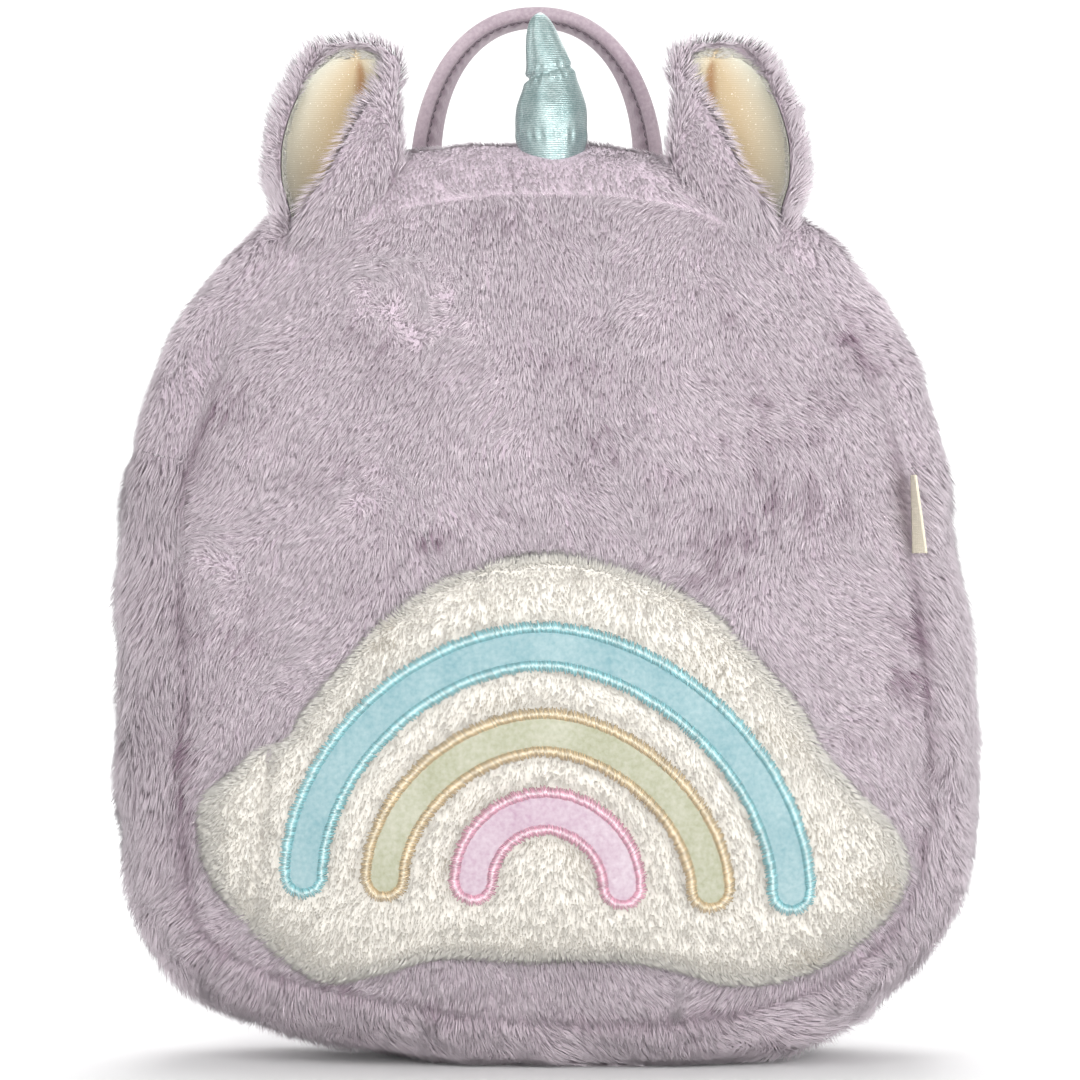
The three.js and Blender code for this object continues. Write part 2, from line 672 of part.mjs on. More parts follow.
// One band of the rainbow: half a superellipse with round feet, laid on the cloud.
const bandSteps = 17;
const footSteps = 3;
function rainbowBand({ reach, rise, full }) {
  const centre = (angle) => {
    const [c, s] = [Math.cos(angle), Math.sin(angle)];
    const radius = (Math.abs(c) ** full + Math.abs(s) ** full) ** (-1 / full);
    const [x, up] = [((reach * cloudWidth) / 2) * radius * c, rise * cloudHeight * radius * s];
    return v3(rainbowSide + x, 0, rainbowFeet + up - rainbowTilt * x);
  };
  const stations = [
    ...steps(90, 0, footSteps).map((turn) => [0, -turn]),
    ...steps(0, Math.PI, bandSteps).slice(1, -1).map((angle) => [angle, 0]),
    ...steps(0, 90, footSteps).map((turn) => [Math.PI, turn]),
  ];
  const rings = stations.map(([angle, turn]) => {
    const along = centre(angle + 1e-3).sub(centre(angle - 1e-3)).normalize();
    const across = v3(along.z, 0, -along.x);
    const shift = bandHalfWidth * Math.sin(turn * degree);
    const half = bandHalfWidth * Math.max(Math.cos(turn * degree), 0.06);
    return BAND_SECTION.map((point) => {
      const at = centre(angle).addScaledVector(along, shift).addScaledVector(across, point.across * half);
      const face = frontSurface(at.x, at.z) - 2 * seatGap - cloudThick;
      return v3(at.x, face - point.rise, at.z);
    });
  });
  return capped(rings, BAND_SECTION.map(({ across, rise: up }) => [across, up]));
}

// Label: a folded tape that stands out of the right front seam, turned further outwards at its lower end.
function sideLabel() {
  const share = [labelMiddle + labelHeight / 2, labelMiddle - labelHeight / 2].map((z) => {
    const right = steps(0.05, 0.45, 400).map((t) => [t, Math.abs(gussetPoint(t, -frontSeamAhead, 0).z - z)]);
    return right.reduce((a, b) => (b[1] < a[1] ? b : a))[0];
  });
  const turns = labelTurns.map((turn) => turn * degree);
  const rings = share.map((t, k) => {
    const root = gussetPoint(t, -frontSeamAhead, 0).add(v3(labelThick, -seatGap - seamGap, 0));
    const reach = v3(Math.sin(turns[k]), -Math.cos(turns[k]), 0);
    const across = v3(Math.cos(turns[k]), Math.sin(turns[k]), 0);
    const corner = (out, side) => root.clone().addScaledVector(reach, out).addScaledVector(across, side);
    return [corner(0, 0), corner(labelReach, 0), corner(labelReach, labelThick), corner(0, labelThick)];
  });
  return loft(rings, flatFromAbove);
}

// Shoulder straps. A route is a smooth curve through the rows of its table, on the right for side 1.
function route(rows, side) {
  const back = backSeamBehind + backDome;
  return new THREE.CatmullRomCurve3(
    rows.map((row) => v3((side * row.side * bodyWidth) / 2, back + row.off * strapBow, row.up * bodyHeight)),
    false,
    "centripetal",
  );
}

// Frame of a strap at a share of its route: its width stays as near to X as the route allows.
function strapFrame(curve, t) {
  const along = curve.getTangentAt(t);
  const wide = v3(1, 0, 0).addScaledVector(along, -along.x).normalize();
  return { at: curve.getPointAt(t), along, wide, thick: along.clone().cross(wide) };
}

function strapSweep(curve, count, sectionAt) {
  const section = sectionAt(0);
  const rings = steps(0, 1, count).map((t) => {
    const { at, wide, thick } = strapFrame(curve, t);
    return sectionAt(t).map(([w, h]) => at.clone().addScaledVector(wide, w).addScaledVector(thick, h));
  });
  return capped(rings, section);
}

const strapSteps = 18;
function shoulderStrap(side, bag) {
  const sectionAt = (t) => {
    const place = t * (STRAP.length - 1);
    const row = Math.min(Math.floor(place), STRAP.length - 2);
    const width = THREE.MathUtils.lerp(STRAP[row].width, STRAP[row + 1].width, place - row);
    const half = (width * strapWidth) / 2;
    const thick = strapThick / 2;
    return [
      [-half, -0.2 * thick],
      [-half + thick, -thick],
      [half - thick, -thick],
      [half, -0.2 * thick],
      [half, 0.2 * thick],
      [half - thick, thick],
      [-half + thick, thick],
      [-half, 0.2 * thick],
    ];
  };
  return without(strapSweep(strapOnly(side), strapSteps, sectionAt), bag, solid(ring(side, seatGap)));
}

// The strap stops just past the ring's upper bar, and the webbing begins just past its lower bar.
const barReach = ringSlot / 2 - 1.6;
function strapOnly(side) {
  const whole = route(STRAP, side);
  const end = whole.getPointAt(1).addScaledVector(whole.getTangentAt(1), -barReach);
  const points = [...whole.points.slice(0, -1), end];
  return new THREE.CatmullRomCurve3(points, false, "centripetal");
}
function webbingOnly(side) {
  const whole = route(WEBBING, side);
  const start = whole.getPointAt(0).addScaledVector(whole.getTangentAt(0), barReach);
  return new THREE.CatmullRomCurve3([start, ...whole.points.slice(1)], false, "centripetal");
}

const webbingSteps = 10;
function strapWebbing(side, bag) {
  const [half, thick] = [webbingWidth / 2, webbingThick / 2];
  const sectionAt = () => [
    [-half, -thick],
    [half, -thick],
    [half, thick],
    [-half, thick],
  ];
  return without(strapSweep(webbingOnly(side), webbingSteps, sectionAt), bag, solid(ring(side, seatGap)));
}

// Rectangular ring between a strap and its webbing, already in place and grown by a clearance.
function ring(side, grow) {
  const inner = { w: strapWidth * STRAP.at(-1).width + 1, h: ringSlot };
  const outer = { w: inner.w + 2 * ringWire, h: inner.h + 2 * ringWire };
  const box = ({ w, h }, extra, path) => {
    path.moveTo(-w / 2 - extra, -h / 2 - extra);
    path.lineTo(w / 2 + extra, -h / 2 - extra);
    path.lineTo(w / 2 + extra, h / 2 + extra);
    path.lineTo(-w / 2 - extra, h / 2 + extra);
    path.closePath();
    return path;
  };
  const shape = box(outer, grow, new THREE.Shape());
  shape.holes.push(box(inner, -grow, new THREE.Path()));
  const depth = ringWire + 2 * grow;
  const geometry = new THREE.ExtrudeGeometry(shape, { depth, bevelEnabled: false });
  geometry.translate(0, 0, -depth / 2);
  const { at, along, wide, thick } = strapFrame(route(STRAP, side), 1);
  const upright = wide.clone().cross(along).dot(thick) > 0 ? thick : thick.clone().negate();
  return geometry.applyMatrix4(new THREE.Matrix4().makeBasis(wide, along, upright).setPosition(at));
}

// Materials
const cloth = (colour, roughness = 0.95) => new THREE.MeshStandardMaterial({ color: colour, roughness, metalness: 0 });
const lilacFur = cloth("#c2b3bf");
const creamPlush = cloth("#e6e1d6");
const lilacVelour = cloth("#b3a2af", 0.85);
const lilacCloth = cloth("#b3a2af", 0.9);
const aquaFoil = new THREE.MeshStandardMaterial({ color: "#a5d3d1", roughness: 0.35, metalness: 0.5 });
const creamLurex = cloth("#dcc9a4", 0.6);
const labelTape = cloth("#e8dfc4");
const plastic = cloth("#a897a6", 0.45);
const zipMetal = new THREE.MeshStandardMaterial({ color: "#b9a9b6", roughness: 0.35, metalness: 0.6 });

const backpack = new THREE.Group();
const add = (name, geometry, material) => {
  const mesh = new THREE.Mesh(geometry, material);
  mesh.name = name;
  backpack.add(mesh);
  return mesh;
};

const bag = bagGrown(seatGap);
const seamShare = shareOf(seamGap) / 2;
const [frontEdge, backEdge] = [-frontSeamAhead + seamGap / 2, backSeamBehind - seamGap / 2];

add("front_panel", frontPanel(), lilacFur);
add("gusset_lower", furStrip(zipTo + seamShare, 1 + zipFrom - seamShare, sideSteps, frontEdge, backEdge, 8), lilacFur);
add(
  "gusset_top_front",
  furStrip(zipFrom + seamShare, zipTo - seamShare, topSteps, frontEdge, zipBehind - zipSlot / 2, 5),
  lilacFur,
);
add(
  "gusset_top_back",
  furStrip(zipFrom + seamShare, zipTo - seamShare, topSteps, zipBehind + zipSlot / 2, backEdge, 4),
  lilacFur,
);
add("zip_tape", zipTape(), lilacCloth);
placeSlider(add("zip_slider", zipSlider(), zipMetal));
add("back_panel", backPanel(), lilacCloth);
add("horn", horn(bag), aquaFoil);
add("handle", handle(bag), lilacVelour);
add("cloud_patch", cloudPatch(bag), creamPlush);
for (const band of BANDS) add(band.name, rainbowBand(band), cloth(band.colour, 0.7));
add("side_label", sideLabel(), labelTape);
for (const [side, word] of [
  [-1, "left"],
  [1, "right"],
]) {
  add(`ear_${word}`, ear(side, bag), lilacFur);
  add(`ear_lining_${word}`, earLining(side, bag), creamLurex);
  add(`shoulder_strap_${word}`, shoulderStrap(side, bag), lilacVelour);
  add(`strap_webbing_${word}`, strapWebbing(side, bag), lilacCloth);
  add(`strap_ring_${word}`, ring(side, 0), plastic);
}

// The origin goes under the middle of the whole backpack, straps included.
const middle = new THREE.Box3().setFromObject(backpack, true).getCenter(v3());
for (const mesh of backpack.children) mesh.position.sub(v3(middle.x, middle.y, 0));

export default backpack;
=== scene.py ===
"""Looks of a child's faux-fur backpack: pile, plush, metallic cloth, velour, webbing and studio.

Shapes are worked out in millimetres from the same sizes and tables as the solids, in the frame that the tables use.
place() moves them into the record's frame and turns them to metres.
"""

import bpy
import bmesh
import numpy as np
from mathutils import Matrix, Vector


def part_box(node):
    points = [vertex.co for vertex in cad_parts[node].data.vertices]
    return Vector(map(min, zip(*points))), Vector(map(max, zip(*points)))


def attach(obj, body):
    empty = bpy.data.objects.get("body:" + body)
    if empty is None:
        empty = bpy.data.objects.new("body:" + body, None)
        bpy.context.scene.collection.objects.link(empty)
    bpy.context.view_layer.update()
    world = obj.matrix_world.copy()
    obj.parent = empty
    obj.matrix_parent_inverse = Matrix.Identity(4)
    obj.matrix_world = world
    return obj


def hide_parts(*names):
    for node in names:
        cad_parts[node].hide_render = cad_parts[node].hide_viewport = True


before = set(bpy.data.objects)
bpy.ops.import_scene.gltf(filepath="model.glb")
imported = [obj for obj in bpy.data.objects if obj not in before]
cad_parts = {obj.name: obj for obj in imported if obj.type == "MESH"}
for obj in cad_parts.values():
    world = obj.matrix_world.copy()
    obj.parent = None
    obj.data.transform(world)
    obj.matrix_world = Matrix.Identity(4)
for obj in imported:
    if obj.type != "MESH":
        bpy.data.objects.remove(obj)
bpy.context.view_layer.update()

# ---------------------------------------------------------------- sizes, as in the solids, in millimetres
MM = 0.001
BODY_W, BODY_H = 256.0, 274.0
DEPTH = 72.0
FRONT = 0.445 * DEPTH
BACK = DEPTH - FRONT
FULLEST = 0.07 * DEPTH
FRONT_INSET, BACK_INSET, FRONT_SHIFT = 15.5, 8.0, 2.3
FRONT_DOME, BACK_DOME = 0.278 * DEPTH, 0.055 * DEPTH
FUR_WALL, BACK_WALL, GAP = 5.0, 3.0, 0.3
FRONT_BEND, BACK_BEND = 2.6, 4.0
CENTRE_Z = 0.45 * BODY_H
ZIP_REACH, ZIP_Y, ZIP_SLOT, ZIP_SINK = 0.38, DEPTH / 6, 12.0, 2.6
EAR_SPREAD, EAR_MIDDLE, EAR_H, EAR_W, EAR_D = 0.232 * BODY_W, -2.3, 39.5, 40.0, 26.0
EAR_Y, EAR_WALL = -0.62 * FRONT, 4.4
HORN_H, HORN_R, HORN_X, HORN_Y = 38.0, 10.7, 2.4, -0.44 * FRONT
HANDLE_SPAN, HANDLE_RISE, HANDLE_X = 78.0, 44.3, -1.9
HANDLE_Y, HANDLE_D, ROLL, HANDLE_THICK = 0.55 * BACK, 0.4 * BACK, 6.0, 2.8
FOOT_LEAN, CROWN_LEAN = 6.0, 1.0
CLOUD_W, CLOUD_H, CLOUD_X, CLOUD_Z, CLOUD_THICK = 0.797 * BODY_W, 0.447 * BODY_H, 3.2, 0.3226 * BODY_H, 6.0
BAND_HALF, BAND_X, BAND_Z, BAND_TILT = 6.3, 1.2, CLOUD_Z - 0.261 * CLOUD_H, 0.035
STRAP_BOW, STRAP_W, STRAP_THICK = 0.64 * DEPTH, 40.0, 7.0
WEBBING_W, WEBBING_THICK, BAR_REACH = 20.0, 4.6, 2.9

# The record's origin is under the middle of the whole backpack. The tables' origin is found from two nodes.
SHIFT = np.array([
    (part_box("strap_ring_left")[0][0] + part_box("strap_ring_right")[1][0]) / 2 / MM,
    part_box("gusset_lower")[1][1] / MM - (BACK - GAP / 2),
    0.0,
])

OUTLINE = [  # widest outline from the front, from under the base: shares of half the width and of the height
    (0.15, -0.012), (0.38, -0.006), (0.56, 0.009), (0.67, 0.03), (0.765, 0.058), (0.85, 0.093), (0.93, 0.145),
    (0.99, 0.215), (1.008, 0.31), (0.993, 0.41), (0.97, 0.51), (0.94, 0.615), (0.908, 0.705), (0.848, 0.79),
    (0.76, 0.847), (0.64, 0.904), (0.5, 0.95), (0.34, 0.983), (0.17, 0.997), (0, 1), (-0.19, 0.997),
    (-0.36, 0.984), (-0.53, 0.951), (-0.68, 0.902), (-0.8, 0.845), (-0.875, 0.787), (-0.94, 0.703),
    (-0.985, 0.61), (-0.99, 0.51), (-0.978, 0.41), (-0.988, 0.3), (-0.972, 0.205), (-0.925, 0.13),
    (-0.845, 0.083), (-0.73, 0.054), (-0.55, 0.027), (-0.35, 0.009), (-0.14, -0.007),
]
CLOUD = [  # outline of the cloud patch, from its left end over the top: shares of half its width and half its height
    (-1, -0.31), (-0.99, -0.13), (-0.9, -0.01), (-0.83, 0.1), (-0.75, 0.15), (-0.7, 0.27), (-0.57, 0.53),
    (-0.44, 0.75), (-0.27, 0.91), (-0.02, 1), (0.24, 0.91), (0.43, 0.74), (0.57, 0.51), (0.68, 0.3),
    (0.75, 0.1), (0.85, -0.1), (0.96, -0.28), (1, -0.45), (0.96, -0.64), (0.83, -0.84), (0.67, -0.97),
    (0.5, -1), (0.35, -0.93), (0.18, -0.88), (-0.1, -0.88), (-0.33, -0.87), (-0.5, -0.95), (-0.65, -0.99),
    (-0.78, -0.86), (-0.9, -0.66), (-0.97, -0.5),
]
EAR = np.array([  # up, outer, inner, deep, lean, flap end, lining short
    (-0.62, -0.4, 0.26, 0.85, 0, -128, 8), (-0.33, -0.43, 0.33, 0.94, 0, -119, 8), (-0.05, -0.5, 0.48, 1, 0, -95, 8),
    (0.2, -0.5, 0.5, 0.97, 0.04, -80, 8), (0.42, -0.45, 0.485, 0.86, 0.09, -64, 8),
    (0.6, -0.38, 0.475, 0.74, 0.14, -45, 8), (0.74, -0.325, 0.5, 0.62, 0.18, -34, 14),
    (0.84, -0.26, 0.49, 0.53, 0.21, -28, 44), (0.915, -0.18, 0.43, 0.42, 0.23, -28, 60),
    (0.975, -0.07, 0.31, 0.26, 0.24, -26, 60),
])
HORN = np.array([  # up, radius, lean
    (-0.3, 0.82, 0), (-0.07, 0.93, 0), (0.02, 0.98, 0), (0.15, 1, 0), (0.25, 0.97, 0), (0.32, 0.9, 0),
    (0.385, 0.82, 0), (0.45, 0.74, 0), (0.52, 0.69, -0.03), (0.6, 0.63, -0.08), (0.69, 0.57, -0.15),
    (0.78, 0.49, -0.22), (0.87, 0.39, -0.27), (0.94, 0.27, -0.31), (0.98, 0.14, -0.32), (1.0, 0.0, -0.32),
])
BANDS = {  # reach, rise and fullness of each arch
    "blue": (0.69, 0.559, 1.82), "yellow": (0.46, 0.358, 1.8), "pink": (0.21, 0.173, 1.94),
}
STRAP = [(0.2, -0.2, 0.86), (0.21, 0.16, 0.89), (0.25, 0.62, 0.885), (0.32, 0.95, 0.8), (0.4, 1, 0.66),
         (0.48, 0.92, 0.52), (0.56, 0.72, 0.39)]
STRAP_WIDTHS = [0.9, 0.95, 1, 1, 0.98, 0.9, 0.7]
WEBBING = [(0.56, 0.72, 0.39), (0.62, 0.53, 0.3), (0.69, 0.28, 0.215), (0.755, -0.1, 0.15)]


# ---------------------------------------------------------------- curves and surfaces
def run(points):
    """Length along a line of points, from 0 at its first."""
    return np.concatenate([[0], np.cumsum(np.linalg.norm(np.diff(points, axis=0), axis=1))])


def unit(v):
    """Vectors scaled to length 1; a vector of no length stays as it is."""
    return v / np.maximum(np.linalg.norm(v, axis=-1, keepdims=True), 1e-9)


def place(points):
    """Points in the tables' millimetres, moved into the record's frame in metres."""
    return (np.asarray(points) + SHIFT) * MM


def ramp(x, low, high):
    """A soft step from 0 at low to 1 at high: 3 s ** 2 - 2 s ** 3, s being the share of the way between them."""
    s = np.clip((x - low) / (high - low), 0, 1)
    return s**2 * (3 - 2 * s)


def bell(x, width):
    """A bell of height 1 round 0: exp(-(x / width) ** 2)."""
    return np.exp(-((x / width) ** 2))


def smooth(points, closed):
    """A centripetal Catmull-Rom curve through points: cubics whose spans are the square roots of the chords. Returns
    densely drawn points, spaced by their share of the whole length."""
    points = np.asarray(points, float)
    if closed:
        padded = np.concatenate([points[-1:], points, points[:2]])
    else:
        padded = np.concatenate([2 * points[:1] - points[1:2], points, 2 * points[-1:] - points[-2:-1]])
    p0, p1, p2, p3 = (padded[k:len(padded) - 3 + k] for k in range(4))
    span = [np.sqrt(np.linalg.norm(b - a, axis=1, keepdims=True)) for a, b in ((p0, p1), (p1, p2), (p2, p3))]
    t1 = ((p1 - p0) / span[0] - (p2 - p0) / (span[0] + span[1]) + (p2 - p1) / span[1]) * span[1]
    t2 = ((p2 - p1) / span[1] - (p3 - p1) / (span[1] + span[2]) + (p3 - p2) / span[2]) * span[1]
    w = np.linspace(0, 1, 60, endpoint=False)[None, :, None]
    c2, c3 = -3 * p1 + 3 * p2 - 2 * t1 - t2, 2 * p1 - 2 * p2 + t1 + t2
    dense = (p1[:, None] + t1[:, None] * w + c2[:, None] * w**2 + c3[:, None] * w**3).reshape(-1, points.shape[1])
    dense = np.concatenate([dense, dense[:1] if closed else p2[-1:]])
    length = run(dense)
    return dense, length / length[-1], length[-1]


def along(curve, t, closed=False):
    """Points and unit tangents of a smooth() curve at shares t of its length, by linear reading of the dense points."""
    dense, share, _ = curve
    fit = (lambda s: s % 1) if closed else (lambda s: np.clip(s, 0, 1))
    read = lambda s: np.stack([np.interp(fit(s), share, dense[:, k]) for k in range(dense.shape[1])], -1)
    t, step = np.asarray(t, float), 2e-3
    return read(t), unit(read(t + step) - read(t - step))


BODY = smooth([(s * BODY_W / 2, u * BODY_H) for s, u in OUTLINE], True)
CROWN = 0.3 + 0.4 * np.argmin(np.abs(along(BODY, np.linspace(0.3, 0.7, 401), True)[0][:, 0])) / 400
BODY_LENGTH = BODY[2]


def inset(y):
    """How far the gusset lies inside the widest outline: a cubic from the fullest line to each seam."""
    ahead = FRONT_INSET * (np.maximum(FULLEST - y, 0) / (FULLEST + FRONT)) ** 3
    return ahead + BACK_INSET * (np.maximum(y - FULLEST, 0) / (BACK - FULLEST)) ** 3


def gusset(t, y, sink, floor=None):
    """Gusset surface: the widest outline moved inwards along its normal by inset(y) + sink, cut off at the floor."""
    t, y, sink = np.broadcast_arrays(t, y, sink)
    point, way = along(BODY, t, True)
    move = inset(y) + sink
    shift = np.where(y < FULLEST, FRONT_SHIFT * inset(y) / FRONT_INSET, 0)
    x = point[..., 0] - way[..., 1] * move + shift
    z = point[..., 1] + way[..., 0] * move
    return np.stack([x, y, np.maximum(z, sink if floor is None else floor)], -1)


def panel(t, r, sink, is_front):
    """Front or back panel: straight from its middle to its seam, swelling by dome * (1 - r ** bend)."""
    t, r, sink = np.broadcast_arrays(t, r, sink)
    seam, dome, bend = (-FRONT, -FRONT_DOME, FRONT_BEND) if is_front else (BACK, BACK_DOME, BACK_BEND)
    way = np.sign(dome)
    edge = gusset(t, np.full(t.shape, seam), sink)
    y = seam + (dome - way * sink) * (1 - r**bend) + way * GAP / 2
    return np.stack([edge[..., 0] * r, y, CENTRE_Z + (edge[..., 2] - CENTRE_Z) * r], -1)


_rim = gusset(np.linspace(0, 1, 721)[:-1], -FRONT, 0.0)
_angle = np.arctan2(_rim[:, 2] - CENTRE_Z, _rim[:, 0])
_order = np.argsort(_angle)
_far = np.hypot(_rim[:, 0], _rim[:, 2] - CENTRE_Z)[_order]


def front_reach(x, z):
    """Share of the way from the front panel's middle to its seam, along the ray through (x, z)."""
    far = np.interp(np.arctan2(z - CENTRE_Z, x), _angle[_order], _far, period=2 * np.pi)
    return np.hypot(x, z - CENTRE_Z) / far


def front_y(x, z):
    """Depth of the front panel over (x, z)."""
    return -FRONT - FRONT_DOME * (1 - np.minimum(front_reach(x, z), 1) ** FRONT_BEND) - GAP / 2


def top_z(x):
    """Height of the widest outline over x."""
    point = along(BODY, np.linspace(0.2, 0.8, 3000), True)[0]
    upper = point[point[:, 1] > CENTRE_Z]
    return float(upper[np.argmin(np.abs(upper[:, 0] - x)), 1])


def waves(points, size, seed, count=14):
    """Smooth noise from -1 to 1 or so: a sum of sine waves of about the given wavelength in random directions."""
    rng = np.random.default_rng(seed)
    way = unit(rng.normal(size=(count, 3))) * (2 * np.pi / size) * rng.uniform(0.6, 1.5, (count, 1))
    phase = rng.uniform(0, 2 * np.pi, count)
    return np.sin(points @ way.T + phase).sum(-1) / np.sqrt(count / 2)


# ---------------------------------------------------------------- meshes
def sheet_faces(rows, cols, wrap_rows=False, wrap_cols=False):
    """Quads of a grid of rows by cols points, joined across its ends where it wraps."""
    r = np.arange(rows if wrap_rows else rows - 1)[:, None]
    c = np.arange(cols if wrap_cols else cols - 1)[None, :]
    near, far = r * cols, (r + 1) % rows * cols
    right = (c + 1) % cols
    return np.stack([near + c, near + right, far + right, far + c], -1).reshape(-1, 4)


def fan_faces(first, count, turned):
    """Triangles that close a ring of points, drawn from its first point."""
    k = np.arange(1, count - 1)
    fan = np.stack([np.full(count - 2, first), first + k, first + k + 1], -1)
    return fan[:, ::-1] if turned else fan


def add_mesh(name, points, faces, material, replaced=(), uv=None, shades=None, lay=None, merge=True):
    """Puts arrays into a mesh object that rides on the root. faces is a list of index arrays; uv and shades are per
    point. merge closes poles and seams and turns the faces outwards."""
    points = place(points)
    arrays = [np.asarray(f, np.int32) for f in faces]
    loops = np.concatenate([f.ravel() for f in arrays])
    sizes = np.concatenate([np.full(len(f), f.shape[1], np.int32) for f in arrays])
    me = bpy.data.meshes.new(name)
    me.vertices.add(len(points))
    me.vertices.foreach_set("co", points.astype(np.float32).ravel())
    me.loops.add(len(loops))
    me.loops.foreach_set("vertex_index", loops)
    me.polygons.add(len(sizes))
    me.polygons.foreach_set("loop_start", np.concatenate([[0], np.cumsum(sizes)[:-1]]).astype(np.int32))
    if uv is not None:
        layer = me.uv_layers.new(name="OFBake")
        layer.data.foreach_set("uv", np.asarray(uv, np.float32)[loops].ravel())
    if shades is not None:
        layer = me.attributes.new("pile", "FLOAT_COLOR", "POINT")
        layer.data.foreach_set("color", np.asarray(shades, np.float32).ravel())
    if lay is not None:
        me.attributes.new("lay", "FLOAT_VECTOR", "POINT").data.foreach_set("vector", lay.astype(np.float32).ravel())
    me.update(calc_edges=True)
    me.validate()
    if merge:
        bm = bmesh.new()
        bm.from_mesh(me)
        bmesh.ops.remove_doubles(bm, verts=bm.verts, dist=2e-6)
        bmesh.ops.recalc_face_normals(bm, faces=bm.faces)
        bm.to_mesh(me)
        bm.free()
    me.polygons.foreach_set("use_smooth", np.full(len(me.polygons), True))
    me.materials.append(material)
    ob = bpy.data.objects.new(name, me)
    bpy.context.scene.collection.objects.link(ob)
    if replaced:
        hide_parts(*replaced)
    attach(ob, "root")
    return ob


def add_rings(name, ring, material, replaced=(), caps=2, shades=None):
    """A closed solid of rings of points, each joined to the next. Fans cap the first ring and the last, or the first
    alone, or neither, where the rings run into a point."""
    rows, cols = ring.shape[:2]
    faces = [sheet_faces(rows, cols, False, True), fan_faces(0, cols, False), fan_faces((rows - 1) * cols, cols, True)]
    shades = None if shades is None else shades.reshape(-1, 4)
    return add_mesh(name, ring.reshape(-1, 3), faces[:1 + caps], material, replaced, shades=shades)


def point_normals(points, quads):
    """Unit normals of a grid's points: the sum of the normals of the quads around each."""
    corner = points[quads]
    normal = np.cross(corner[:, 2] - corner[:, 0], corner[:, 3] - corner[:, 1])
    total = np.zeros_like(points)
    for k in range(4):
        np.add.at(total, quads[:, k], normal)
    return unit(total)


def scatter(points, quads, count, seed, centre, weight=None):
    """Random roots on a surface, as many to an area as weight asks, with their normals away from centre: a quad is
    drawn by its area, and a place in it by two shares of its sides."""
    rng = np.random.default_rng(seed)
    normals = point_normals(points, quads)
    corner = points[quads]
    facing = np.cross(corner[:, 2] - corner[:, 0], corner[:, 3] - corner[:, 1])
    normals *= np.sign((facing * (corner.mean(1) - centre)).sum())
    area = np.linalg.norm(facing, axis=1)
    if weight is not None:
        area = area * weight(corner.mean(1)) if callable(weight) else area * weight.ravel()
    total = np.cumsum(area)
    pick = np.searchsorted(total, rng.uniform(0, total[-1], count))
    a, b = rng.uniform(size=(2, count, 1))
    blend = lambda c: (c[:, 0] * (1 - a) + c[:, 1] * a) * (1 - b) + (c[:, 3] * (1 - a) + c[:, 2] * a) * b
    return blend(corner[pick]), unit(blend(normals[quads[pick]])), rng


RIDGE_AT, RIDGE_HIGH = 0.4, 0.45  # place of a hair's ridge along it, and its height as a share of the hair's width
FLOOR_CLEAR = 0.05


def pile(name, roots, normals, flow, lift, length, width, tint, material, pieces=1, turned=0.0):
    """Hairs of a pile, each a slender closed solid of four triangles: two root points, a ridge point on its back two
    fifths of the way along, and a tip. The hair leaves the surface at the angle lift and leans along flow. Its shade
    runs from 0 at the root to 1 at the tip, next to its own tint. lay is the direction that catches the light: mostly
    the surface's, because light passes from hair to hair, and turned by a vector where light shines through the tips
    of an edge."""
    tangent = unit(flow - normals * (flow * normals).sum(1, keepdims=True))
    way = unit(tangent * np.cos(lift)[:, None] + normals * np.sin(lift)[:, None])
    side = unit(np.cross(way, normals))
    up = np.cross(side, way)
    length, width = length[:, None], width[:, None]
    ridge = roots + way * length * RIDGE_AT + up * width * RIDGE_HIGH
    hair = np.stack([roots - side * width / 2, roots + side * width / 2, ridge, roots + way * length], 1)
    hair[..., 2] = np.maximum(hair[..., 2], FLOOR_CLEAR)
    lay = unit(normals * 0.75 + up * 0.25 + turned)
    lay = unit(np.stack([lay - side * 0.12, lay + side * 0.12, lay, lay], 1))
    share = np.array([0, 0, RIDGE_AT, 1])
    spread = np.array([-0.004, 0.004, 0.003, 0])  # keeps a hair's corners apart in its UV map
    made = []
    for part, chosen in enumerate(np.array_split(np.argsort(roots[:, 0]), pieces)):
        n = len(chosen)
        corner = np.arange(n)[:, None] * 4
        faces = (corner[:, :, None] + np.array([[0, 3, 1], [0, 1, 2], [0, 2, 3], [1, 3, 2]])).reshape(-1, 3)
        tints = np.clip(tint[chosen], 0, 1)[:, None]
        shades = np.zeros((n, 4, 4))
        shades[..., 0], shades[..., 1], shades[..., 3] = share, tints, 1
        uv = np.stack([0.02 + 0.96 * tints + spread, np.broadcast_to(0.02 + 0.96 * share, (n, 4))], -1)
        label = name if pieces == 1 else f"{name}_{'abcdefgh'[part]}"
        made.append(add_mesh(label, hair[chosen].reshape(-1, 3), [faces], material, uv=uv.reshape(-1, 2),
                             shades=shades.reshape(-1, 4), lay=lay[chosen].reshape(-1, 3), merge=False))
    return made


# ---------------------------------------------------------------- materials
def colour(hex_code):
    """Linear colour of an sRGB hex code."""
    c = np.array([int(hex_code[k:k + 2], 16) / 255 for k in (1, 3, 5)])
    return (*np.where(c <= 0.04045, c / 12.92, ((c + 0.055) / 1.055) ** 2.4).tolist(), 1.0)


def node(tree, kind, settings=None, **links):
    """Adds a node with its settings and links. A setting is a property of the node, or the value of an input by its
    name or number; stops are a colour ramp's places and colours. A link names the input that it feeds, or i and its
    number."""
    made = tree.nodes.new(kind)
    for key, value in (settings or {}).items():
        if key == "stops":
            ends = made.color_ramp.elements
            while len(ends) < len(value):
                ends.new(0.5)
            for end, (spot, hex_code) in zip(ends, value):
                end.position, end.color = spot, colour(hex_code)
        elif isinstance(key, int) or key in made.inputs.keys():
            made.inputs[key].default_value = value
        else:
            setattr(made, key, value)
    for key, source in links.items():
        index = int(key[1:]) if key[0] == "i" and key[1:].isdigit() else key.replace("_", " ")
        tree.links.new(source, made.inputs[index])
    return made


